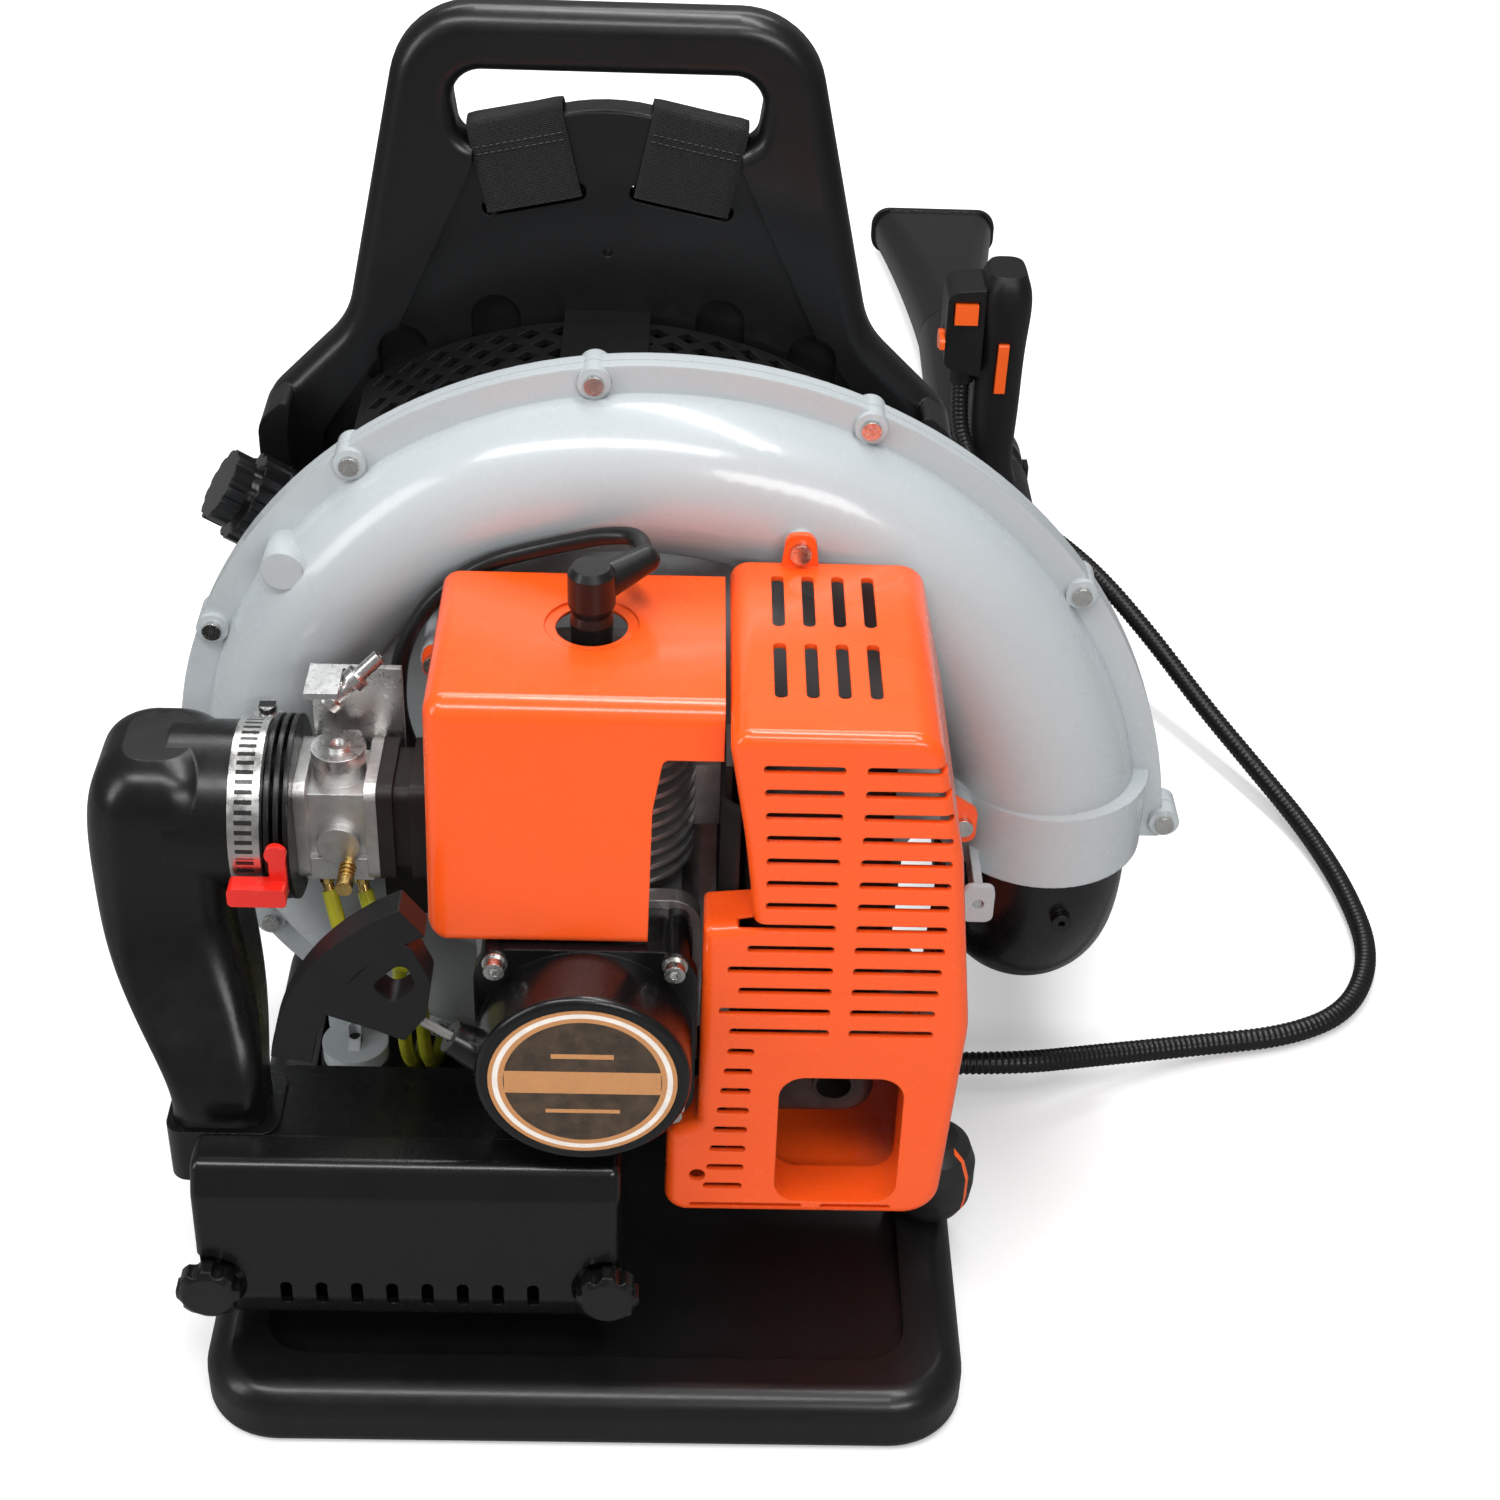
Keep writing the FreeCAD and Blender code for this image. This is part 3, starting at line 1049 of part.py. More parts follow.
def muffler_outline(inset):
    """Front outline of the muffler cover: square shoulders on top, a wide foot on the left."""
    x0, x1 = MUF_COVER_X0 + inset, MUF_COVER_X1 - inset
    low, top = MUF_COVER_LOW + inset, MUF_COVER_TOP - inset
    return [(x0, low, 10), (x1 - 6, low, 16), (x1, 205, 60), (x1 - 9, 292, 60),
            (x1 - 22, top, 12), (54 + inset, top, 8), (62 + inset, 300, 40), (67 + inset, 258, 2),
            (47 + inset, 256 - inset, 3), (46.5 + inset, 150, 3), (x0 + 1, 144 - inset, 5)]


def cover_slots():
    """Cooling slots of the muffler cover: two long columns, a short column and the top grille."""
    tools = []
    front = MUF_COVER_FRONT - 1
    for row in range(SLOT_ROWS):
        z = SLOT_TOP_Z - row * SLOT_PITCH
        left = 68 + 3 * math.sin(math.pi * row / (SLOT_ROWS - 1))
        if row > 6:
            left = 60 - 1.5 * (row - 7) + 6 * ((row + 1) % 2)
        right = 138 + 5 * math.sin(math.pi * min(row + 2, SLOT_ROWS) / (SLOT_ROWS + 4))
        tools.append(prism(rect(left, 99, z, z + SLOT_H, 1.7), "XZ", front, 8))
        tools.append(prism(rect(107, right, z, z + SLOT_H, 1.7), "XZ", front, 8))
    for row in range(8):
        z = SLOT_TOP_Z - (SLOT_ROWS + row) * SLOT_PITCH
        tools.append(prism(rect(58 - 1.2 * row, 69 - 0.4 * row, z, z + SLOT_H, 1.7), "XZ", front, 8))
    tools.append(prism(rect(44, 92, MUF_COVER_LOW + 4.2, MUF_COVER_LOW + 6.6, 1.1), "XZ", front, 8))
    tools.append(prism(rect(100, 130, MUF_COVER_LOW + 4.2, MUF_COVER_LOW + 6.6, 1.1), "XZ", front, 8))
    for column in range(4):
        x = 72 + 12.2 * column
        for y0, y1 in ((-42, -4), (-92, -54)):
            tools.append(prism(rect(x, x + 5, y0, y1, 2.4), "XY", MUF_COVER_TOP - 8, 12))
    tools.append(cyl(V(47, front, 121), Y_AXIS, 3.4, 10))
    return tools


def muffler_cover():
    """Slotted cover over the silencer with a recessed exhaust window and two screw lugs."""
    depth = MUF_COVER_BACK - MUF_COVER_FRONT
    outer = prism(muffler_outline(0), "XZ", MUF_COVER_FRONT, depth)
    rim = [e for e in level_edges(outer, "Y", MUF_COVER_FRONT)]
    outer = outer.makeFillet(5.0, rim)
    inner = prism(muffler_outline(COVER_T), "XZ", MUF_COVER_FRONT + COVER_T, depth)
    shell = outer.cut(inner)
    foot_cut = box(MUF_COVER_X0 - 5, 60, -88, MUF_COVER_BACK + 1, MUF_COVER_LOW - 5, 262)
    side_cut = box(40, 70, -94, MUF_COVER_BACK + 1, 200, 330)
    shell = cut(shell, [foot_cut, side_cut])
    window = rect(WINDOW_X0, WINDOW_X1, WINDOW_Z0, WINDOW_Z1, 11)
    frame = rect(WINDOW_X0 - 2, WINDOW_X1 + 2, WINDOW_Z0 - 2, WINDOW_Z1 + 2, 13)
    tunnel = prism(frame, "XZ", MUF_COVER_FRONT, 22)
    top_tab = prism([(76, MUF_COVER_TOP - 3), (92, MUF_COVER_TOP - 3), (90, MUF_COVER_TOP + 15, 5),
                     (78, MUF_COVER_TOP + 15, 5)], "XZ", MUF_COVER_BACK - 3, 3)
    side_lug = prism([(MUF_COVER_X1 - 3, 206), (MUF_COVER_X1 + 12, 210, 5), (MUF_COVER_X1 + 12, 226, 5),
                      (MUF_COVER_X1 - 3, 236)], "XZ", MUF_COVER_BACK - 3, 3)
    body = fuse([shell, tunnel, top_tab, side_lug])
    tools = [prism(window, "XZ", MUF_COVER_FRONT - 5, 40)] + cover_slots()
    tools += [cyl(spot + Y_AXIS * (y0 - 5), Y_AXIS, SCREW_R, 12) for spot, y0, reach in COVER_SCREWS[:2]]
    add("muffler_cover", cut(body, tools))


SCREW_GRIP = 6.0       # depth of a cover screw in its post
# spot, start of its post and length of the post
COVER_SCREWS = [(V(84, 0, MUF_COVER_TOP + 7), MUF_COVER_BACK, 10),
                (V(MUF_COVER_X1 + 6, 0, 218), MUF_COVER_BACK, 30),
                (V(CYL_COVER_X0 - 5, 0, 300), CYL_COVER_BACK, 38)]


def cover_screws():
    """Screws that hold the two covers on the posts of the housing."""
    made = []
    for spot, y0, reach in COVER_SCREWS:
        head = cyl(V(spot.x, y0 - 5.8, spot.z), Y_AXIS, 4.4, 2.8)
        shank = cyl(V(spot.x, y0 - 4, spot.z), Y_AXIS, SCREW_R - FIT, 4 + SCREW_GRIP)
        made.append(fuse([head, shank]))
    return made


def fasteners():
    add("screws_and_bolts", Part.makeCompound(flange_screws() + cover_screws() + starter_bolts()))


def heat_baffle():
    """Black sheet between cylinder and silencer, with a port hole and a front edge bent outwards."""
    x = BAFFLE_X
    sheet = prism([(x, -6), (x + 2, -6), (x + 2, -84), (x + 8, -90), (x + 8, -92.5), (x + 6.5, -92.5),
                   (x, -86)], "XY", 205, 91)
    port = box(x - 1, x + 4, CARB_Y - PORT_HALF, CARB_Y + PORT_HALF, EXHAUST_Z0, EXHAUST_Z1)
    add("heat_baffle", sheet.cut(port))


# ---------------------------------------------------------------- carburettor line
INSULATOR_X1 = PORT_X
CARB_X1 = INSULATOR_X1 - INSULATOR_L
ADAPTOR_X1 = CARB_X1 - CARB_L
DUCT_X1 = ADAPTOR_X1 - ADAPTOR_L - 1


def carburettor_line():
    """Insulator, carburettor, throttle drum, choke lever, screws, fuel fittings and cable bracket."""
    face = rect(CARB_Y - 21, CARB_Y + 21, CARB_Z - 24, CARB_Z + 24, 6)
    bore = cyl(V(-250, CARB_Y, CARB_Z), X_AXIS, BORE_R, 220)
    layers = []
    for k, inset in enumerate((0, 3, 0)):
        t = INSULATOR_L / 3
        layer = rect(CARB_Y - 21 + inset, CARB_Y + 21 - inset, CARB_Z - 24 + inset,
                     CARB_Z + 24 - inset, 5)
        layers.append(prism(layer, "YZ", CARB_X1 + k * t, t))
    add("insulator_block", fuse(layers).cut(bore))

    x0, x1 = ADAPTOR_X1, CARB_X1
    mid = (x0 + x1) / 2
    body = fuse([prism(face, "YZ", x0, 5), prism(face, "YZ", x1 - 5, 5),
                 box(x0, x1, CARB_Y - 16, CARB_Y + 16, CARB_Z - 20, CARB_Z + 18),
                 cyl(V(mid, CARB_Y, CARB_Z), Z_AXIS, 11, 24),
                 cyl(V(mid, CARB_Y - 20, CARB_Z - 6), Y_AXIS, 9, 40),
                 box(x0 + 3, x1 - 3, CARB_Y - 19, CARB_Y + 19, CARB_Z - 24, CARB_Z - 13)])
    drum_seat = cyl(V(mid, CARB_Y, CARB_Z + 12), Z_AXIS, 4 + RUN, 20)
    idle_hole = cyl(V(mid + 4, CARB_Y - 30, CARB_Z - 14), Y_AXIS, 2.4, 20)
    nipples = [cyl(V(mid + dx, CARB_Y - 12, CARB_Z - 30), Z_AXIS, 2.2, 16) for dx in (-7, 8)]
    add("carburettor_body", cut(body, [bore, drum_seat, idle_hole] + nipples))

    drum_z = CARB_Z + 24 + FIT
    drum = fuse([cyl(V(mid, CARB_Y, drum_z), Z_AXIS, 11.4, 7),
                 prism([(mid - 4, CARB_Y - 4, 2), (mid + 4, CARB_Y - 4, 2), (mid + 9, CARB_Y + 16, 3),
                        (mid + 1, CARB_Y + 16, 3)], "XY", drum_z, 4),
                 cyl(V(mid, CARB_Y, CARB_Z + 13), Z_AXIS, 4, 13),
                 ring(V(mid, CARB_Y, drum_z + 7), Z_AXIS, 5.2, 3.0, 1.6)])
    add("throttle_drum", drum)

    screw = fuse([cyl(V(mid + 4, CARB_Y - 38, CARB_Z - 14), Y_AXIS, 3.6, 5),
                  cyl(V(mid + 4, CARB_Y - 34, CARB_Z - 14), Y_AXIS, 2.4, 20)]
                 + [ring(V(mid + 4, CARB_Y - 32.4 + 2.6 * k, CARB_Z - 14), Y_AXIS, 3.6, 2.4, 1.3)
                    for k in range(4)])
    fittings = [screw]
    for dx in (-7, 8):
        foot = V(mid + dx, CARB_Y - 12, CARB_Z - 24)
        fittings.append(fuse([cyl(foot, Z_AXIS, 2.2, 9), cyl(foot - Z_AXIS * 6, Z_AXIS, 3.2, 6),
                              cyl(foot - Z_AXIS * 6 - Y_AXIS * 0.5, FITTING_DIR, 2.4, 10)]))
    add("carburettor_fittings", Part.makeCompound(fittings))

    plate = fuse([box(x0 + 4, x1 + 8, CARB_Y + 21, CARB_Y + 24, CARB_Z + 6, CARB_Z + 56),
                  box(x0 + 4, x0 + 18, CARB_Y + 2, CARB_Y + 24, CARB_Z + 53, CARB_Z + 56)])
    barrel = placed(turned([(1.6, 0), (5.2, 0), (5.2, 4), (3.6, 4), (3.6, 14), (5.4, 14), (5.4, 18),
                            (3.2, 18), (3.2, 30), (1.6, 30)], V(0, 0, 0), Z_AXIS),
                    V(x0 + 12, CARB_Y + 12, CARB_Z + 44), V(0.72, 0.25, 0.64).normalize())
    add("cable_bracket", fuse([plate, barrel]))

    spindle = V(ADAPTOR_X1 - ADAPTOR_L / 2, CARB_Y - ADAPTOR_R - FIT, CARB_Z + 6)
    lever = fuse([cyl(spindle - Y_AXIS * 3, Y_AXIS, 4.5, 3),
                  prism([(spindle.x - 3, spindle.z - 22, 2), (spindle.x + 4, spindle.z - 22, 2),
                         (spindle.x + 4, spindle.z + 4, 3), (spindle.x - 3, spindle.z + 4, 3)],
                        "XZ", spindle.y - 3, 3),
                  prism([(spindle.x - 20, spindle.z - 22, 2), (spindle.x + 4, spindle.z - 22, 2),
                         (spindle.x + 4, spindle.z - 13, 2), (spindle.x - 20, spindle.z - 13, 2)],
                        "XZ", spindle.y - 9, 9)])
    add("choke_lever", lever)


def fuel_hoses():
    """Two fuel hoses from the carburettor's fittings down and back to the tank."""
    made = []
    mid = (ADAPTOR_X1 + CARB_X1) / 2
    for k, dx in enumerate((-7, 8)):
        start = V(mid + dx, CARB_Y - 12.5, CARB_Z - 30) + FITTING_DIR * 4
        x = mid + 13 + 9 * k
        points = [start, start + FITTING_DIR * 24, start + FITTING_DIR * 34 + V(8, 14, -16),
                  V(x, -10, 170), V(x, 6, 142), V(x, 9, 100), V(x, 14, 64), V(x + 2, 34, 40),
                  V(x + 4, 66, 40), V(x + 6, 84, 56), V(x + 6, TANK_Y0, 56)]
        solid, wire, radii, share = pipe(points, FUEL_R)
        print("fuel hose: length %.0f, radii %s, volume share %.4f" % (wire.Length, radii, share))
        made.append(solid.cut(cyl(start - FITTING_DIR, FITTING_DIR, 2.4, 7)))
    add("fuel_hoses", Part.makeCompound(made))


def intake():
    """Ribbed adaptor, worm clamp and the rubber duct that leads down into the filter box."""
    x1 = ADAPTOR_X1
    ribs = [cyl(V(x1 - ADAPTOR_L + 3.9 * k, CARB_Y, CARB_Z), X_AXIS, ADAPTOR_R, 2.2) for k in range(3)]
    core = cyl(V(x1 - ADAPTOR_L - 22, CARB_Y, CARB_Z), X_AXIS, DUCT_R - 4, 22 + ADAPTOR_L)
    bore = cyl(V(x1 - 60, CARB_Y, CARB_Z), X_AXIS, DUCT_R - 7, 56)
    throat = cyl(V(x1 - 60, CARB_Y, CARB_Z), X_AXIS, BORE_R, 70)
    add("intake_adaptor", cut(fuse(ribs + [core]), [bore, throat]))

    x0 = DUCT_X1
    clamp = ring(V(x0 - CLAMP_W - 1, CARB_Y, CARB_Z), X_AXIS, DUCT_R + 4.2, DUCT_R + 3, CLAMP_W)
    worm = fuse([box(x0 - CLAMP_W - 1, x0 - 1, CARB_Y + DUCT_R - 2, CARB_Y + DUCT_R + 11,
                     CARB_Z + 8, CARB_Z + 18),
                 cyl(V(x0 - CLAMP_W / 2 - 1, CARB_Y + DUCT_R + 7, CARB_Z + 2), Z_AXIS, 4, 22)])
    worm = worm.cut(cyl(V(x0 - CLAMP_W - 4, CARB_Y, CARB_Z), X_AXIS, DUCT_R + 3, CLAMP_W + 6))
    add("intake_clamp", fuse([clamp, worm]))
    add("intake_duct", intake_duct(0).cut(intake_duct(3.0)))


def intake_duct(inset):
    """Bent duct: round neck, domed corner and a flat leg that leans forward into the box."""
    grow = 1.0 if inset else 0.0
    neck = cyl(V(DUCT_OUT_X + 34, CARB_Y, CARB_Z), X_AXIS, DUCT_R + 3 - inset,
               DUCT_X1 - DUCT_OUT_X - 34 + grow)
    sections = []
    top_x = DUCT_OUT_X + 30
    low_x, low_y = DUCT_LOW
    for x, y, z, half_w, half_d, r in ((top_x, CARB_Y, CARB_Z + 35, 14, 18, 12),
                                       (top_x, CARB_Y, CARB_Z + 27, 24, 29, 18),
                                       (top_x, CARB_Y, CARB_Z + 4, 30, 35, 20),
                                       (top_x, CARB_Y - 8, CARB_Z - 30, 29, 31, 18),
                                       ((top_x + low_x) / 2, (CARB_Y + low_y) / 2 - 5,
                                        CARB_Z - 68, 27, 23, 12),
                                       (low_x, low_y, BOX_Z1 + 12, DUCT_HALF, 18, 9),
                                       (low_x, low_y, TURRET_Z - grow, DUCT_HALF, 17, 9)):
        w, d = half_w - inset, half_d - inset
        top = z - inset if z > CARB_Z + 30 else z
        sections.append(outline(rect(x - w, x + w, y - d, y + d, r - inset), "XY", top))
    leg = Part.makeLoft(sections, True, False)
    return leg.fuse(neck)


# ---------------------------------------------------------------- air filter
TURRET_Z = BOX_Z1 - 6      # top of the inlet turret under the duct


def filter_box():
    """Filter box: body on the base, filter element, slotted cover and two lobed knobs."""
    wall = BOX_WALL
    low = [(BOX_X0, BOX_Z0, 12), (BOX_X1, BOX_Z0, 12), (BOX_X1, BOX_Z1 - 8, 14), (BOX_X0, BOX_Z1 - 8, 14)]
    body = prism(low, "XZ", BOX_SPLIT, BOX_BACK - BOX_SPLIT)
    room = prism(rect(BOX_X0 + wall, BOX_X1 - wall, BOX_Z0 + wall, BOX_Z1 - 8 - wall, 10), "XZ",
                 BOX_SPLIT - 1, BOX_BACK - BOX_SPLIT + 1 - wall)
    legs = [box(x - 8, x + 8, BOX_BACK - 22, BOX_BACK - 2, BASE_H - PANEL_DROP, BOX_Z0 + 1)
            for x in (BOX_X0 + 44, BOX_X1 - 26)]
    inlet_x, inlet_y = DUCT_LOW
    spout = DUCT_HALF - 3 - 2 * FIT
    collar = prism(rect(inlet_x - spout, inlet_x + spout, inlet_y - spout + 3, inlet_y + spout - 3, 8),
                   "XY", TURRET_Z - 4, 9)
    turret = prism(rect(inlet_x - DUCT_HALF - 2, inlet_x + DUCT_HALF + 6, inlet_y - 20, inlet_y + 20, 8),
                   "XY", TURRET_Z - 28, 28)
    hole = prism(rect(inlet_x - spout + wall, inlet_x + spout - wall, inlet_y - spout + 3 + wall,
                      inlet_y + spout - 3 - wall, 4), "XY", TURRET_Z - 24, 50)
    posts = [cyl(V(x, BOX_SPLIT - 24, KNOB_Z), Y_AXIS, 3.0, 30) for x in KNOB_XS]
    shell = cut(fuse([body, turret, collar] + legs), [room, hole, intake_duct(0)])
    add("air_filter_box", fuse([shell] + posts))
    add("filter_element", filter_element())
    add("air_filter_cover", filter_cover())
    for x, word in zip(KNOB_XS, ("left", "right")):
        knob = turned([(0, 0), (7, 0), (7, 6), (KNOB_R, 7), (KNOB_R, 14), (KNOB_R - 3, 16), (0, 16)],
                      V(x, KNOB_SEAT_Y - FIT, KNOB_Z), V(0, -1, 0))
        tools = [cyl(V(x, KNOB_SEAT_Y + 1, KNOB_Z), V(0, -1, 0), 3.0 + FIT, 11)]
        for k in range(8):
            a = math.radians(45 * k + 22.5)
            tools.append(cyl(V(x + (KNOB_R + 1.6) * math.cos(a), KNOB_SEAT_Y - 20,
                               KNOB_Z + (KNOB_R + 1.6) * math.sin(a)), Y_AXIS, 3.4, 14))
        add("cover_knob_" + word, cut(knob, tools))


KNOB_XS = (BOX_X0 + KNOB_IN, BOX_X1 - KNOB_IN)
KNOB_SEAT_Y = BOX_FRONT + 8.0


def filter_element():
    """Pleated paper filter in a rubber frame."""
    x0, x1 = BOX_X0 + 12, BOX_X1 - 12
    z0, z1 = BOX_Z0 + 9, BOX_Z1 - 18
    frame = prism(rect(x0, x1, z0, z1, 5), "XZ", BOX_SPLIT, 7)
    frame = frame.cut(prism(rect(x0 + 6, x1 - 6, z0 + 6, z1 - 6, 3), "XZ", BOX_SPLIT, 8))
    pleats, depth = 18, 22.0
    pitch = (x1 - x0 - 10) / pleats
    zig = []
    for k in range(pleats):
        zig.append((x0 + 5 + k * pitch, BOX_SPLIT + 5))
        zig.append((x0 + 5 + (k + 0.5) * pitch, BOX_SPLIT + 5 + depth))
    zig.append((x1 - 5, BOX_SPLIT + 5))
    back = [(x, y + 3.2) for x, y in reversed(zig)]
    paper = prism(zig + back, "XY", z0 + 5, z1 - z0 - 10)
    return fuse([frame, paper])


def filter_cover():
    """Dished cover: raised lip along the top, recesses for the knobs and a row of low slots."""
    side = [(BOX_SPLIT - FIT, BOX_Z0 - 2), (BOX_FRONT + 6, BOX_Z0, 5), (BOX_FRONT, BOX_Z0 + 16, 10),
            (BOX_FRONT + 3, BOX_Z1 - 14, 10), (BOX_FRONT + 10, BOX_Z1, 6), (BOX_SPLIT - FIT, BOX_Z1, 2)]
    outer = prism(side, "YZ", BOX_X0, BOX_X1 - BOX_X0)
    ends = level_edges(outer, "X", BOX_X0) + level_edges(outer, "X", BOX_X1)
    ends = [e for e in ends if e.CenterOfMass.y < BOX_SPLIT - 2]
    outer = outer.makeFillet(4.0, ends)
    wall = BOX_WALL + 0.5
    inner = prism([(BOX_SPLIT + 5, BOX_Z0 + 1), (BOX_FRONT + 6 + wall, BOX_Z0 + wall, 3),
                   (BOX_FRONT + wall, BOX_Z0 + 16, 8), (BOX_FRONT + 3 + wall, BOX_Z1 - 14, 8),
                   (BOX_FRONT + 10 + wall, BOX_Z1 - wall, 4), (BOX_SPLIT + 5, BOX_Z1 - wall)],
                  "YZ", BOX_X0 + 22, BOX_X1 - BOX_X0 - 44)
    shell = outer.cut(inner)
    tools = []
    for x in KNOB_XS:
        tools.append(cyl(V(x, BOX_FRONT - 2, KNOB_Z), Y_AXIS, KNOB_R + 2, KNOB_SEAT_Y - BOX_FRONT + 2))
        tools.append(cyl(V(x, BOX_FRONT - 2, KNOB_Z), Y_AXIS, 3.0 + FIT, 40))
    pitch = 15.0
    first = (BOX_X0 + BOX_X1) / 2 - 3.5 * pitch
    for k in range(8):
        x = first + k * pitch
        tools.append(prism(rect(x - 2.5, x + 2.5, KNOB_Z - 13, KNOB_Z + 1, 2.4), "XZ",
                           BOX_FRONT - 2, 12))
    return cut(shell, tools)


# ---------------------------------------------------------------- blower tube
HOSE_BORE_R = HOSE_R - HOSE_WALL - 2
HOSE_START = V(OUTLET_X, SPLIT_Y + ELBOW_BEND + 12, OUTLET_Z - 15 - ELBOW_BEND)
HOSE_TURN = HOSE_START + V(0, 74, 0)
TIP_AT = TUBE_L + 1 + NOZZLE_L + FLARE_L
LIP_HALF = FLARE_H / 2 + FLARE_LIP
REST_SLOPE = (TUBE_R + RING_T - LIP_HALF) / (TIP_AT - TUBE_L)
REST_TILT = math.degrees(math.atan(REST_SLOPE))
HOSE_END = V(TUBE_X, HOSE_START.y + HOSE_REACH, LIP_HALF + FLOOR_GAP + REST_SLOPE * TIP_AT)
TUBE_DIR = V(0, math.cos(math.radians(REST_TILT)), -math.sin(math.radians(REST_TILT)))
HOSE_EASE = HOSE_END - TUBE_DIR * 72


def elbow():
    """Outlet elbow from the housing's collar to the hose, with a screw boss on its outer side."""
    bend_z = OUTLET_Z - 15
    middle = V(OUTLET_X, SPLIT_Y, 0)
    spine = V(OUTLET_X, SPLIT_Y + ELBOW_BEND, bend_z)

    def tube(radius):
        ring_face = Part.Face(Part.Wire(Part.makeCircle(radius, V(OUTLET_X, SPLIT_Y, bend_z), Z_AXIS)))
        bend = ring_face.revolve(spine, V(-1, 0, 0), -90)
        down = cyl(middle + Z_AXIS * bend_z, Z_AXIS, radius, OUTLET_Z - bend_z + ELBOW_SEAT - 2)
        exit_z = bend_z - ELBOW_BEND
        out = cyl(V(OUTLET_X, SPLIT_Y + ELBOW_BEND, exit_z), Y_AXIS, radius,
                  HOSE_START.y - SPLIT_Y - ELBOW_BEND - FIT)
        spigot_r = HOSE_BORE_R - FIT - (ELBOW_R - radius)
        spigot = cyl(V(OUTLET_X, SPLIT_Y + ELBOW_BEND, exit_z), Y_AXIS, spigot_r,
                     HOSE_START.y - SPLIT_Y - ELBOW_BEND + 22)
        if radius < ELBOW_R:
            out = cyl(V(OUTLET_X, SPLIT_Y + ELBOW_BEND, exit_z), Y_AXIS, radius,
                      HOSE_START.y - SPLIT_Y - ELBOW_BEND - ELBOW_WALL)
            spigot = cyl(V(OUTLET_X, SPLIT_Y + ELBOW_BEND, exit_z), Y_AXIS, spigot_r, 100)
        return bend.fuse(down).fuse(out).fuse(spigot)

    shell = tube(ELBOW_R).cut(tube(ELBOW_R - ELBOW_WALL))
    boss_at = V(OUTLET_X + 8, SPLIT_Y - ELBOW_R + 3, OUTLET_Z - 22)
    boss = cyl(boss_at, V(0, -1, 0), 4.5, 7).cut(cyl(boss_at - Y_AXIS * 8, Y_AXIS, 1.6, 6))
    add("outlet_elbow", fuse([shell, boss]).cut(tube(ELBOW_R - ELBOW_WALL)))


def hose_piece(points, radius_share):
    """One half of the bellows hose: wall with raised ribs, swept along its route."""
    solid, wire, radii, share = pipe(points, HOSE_R - 2, radius_share)
    bore = pipe(points, HOSE_R - HOSE_WALL - 2, radius_share)[0]
    print("hose: length %.0f, radii %s, volume share %.4f" % (wire.Length, radii, share))
    ribs = []
    gap = wire.Length / (HOSE_RIBS + 1)
    for k in range(HOSE_RIBS):
        here, along = point_on(wire, gap * (k + 1))
        ribs.append(cyl(here - along * 3.2, along, HOSE_R + 2, 6.4))
    body = solid
    for rib in ribs:
        body = body.fuse(rib)
    return body.cut(bore)


def point_on(wire, distance):
    """Point and direction at a distance along a wire."""
    for edge in wire.OrderedEdges:
        if distance <= edge.Length:
            at = edge.getParameterByLength(distance)
            tangent = edge.tangentAt(at)
            if edge.Orientation == "Reversed":
                at = edge.getParameterByLength(edge.Length - distance)
                tangent = edge.tangentAt(at) * -1
            return edge.valueAt(at), tangent
        distance -= edge.Length
    return wire.OrderedVertexes[-1].Point, tangent


def hose():
    """Bellows hose in two halves that meet at its middle, with a band clamp on each end."""
    middle = (HOSE_TURN + HOSE_EASE) * 0.5
    near = [HOSE_START, HOSE_TURN, middle]
    far = [middle, HOSE_EASE, HOSE_END]
    add("hose_near_half", hose_piece(near, 0.8))
    add("hose_far_half", hose_piece(far, 0.8))
    for name, at, way in (("elbow_hose_clamp", HOSE_START, Y_AXIS),
                          ("tube_hose_clamp", HOSE_END, TUBE_DIR * -1)):
        band = ring(at + way * 0.6, way, HOSE_R + 1.2, HOSE_R - 2, 7)
        middle = at + way * 4.1
        ear = box(middle.x - 5, middle.x + 5, middle.y - 2.4, middle.y + 2.4, at.z + HOSE_R - 1,
                  at.z + HOSE_R + 8)
        bolt = cyl(V(middle.x - 9, middle.y, at.z + HOSE_R + 4), X_AXIS, 2.2, 18)
        add(name, fuse([band, ear, bolt]))


def tube_place(shape):
    """Lay a shape built along +Y from the hose's end, sloping down to rest on the floor."""
    laid = shape.copy()
    laid.Placement = FreeCAD.Placement(HOSE_END, FreeCAD.Rotation(X_AXIS, -REST_TILT)).multiply(
        shape.Placement)
    return laid


def along(points):
    """Revolve a (radius, distance) profile about the tube's axis."""
    return turned(points, V(0, 0, 0), Y_AXIS)


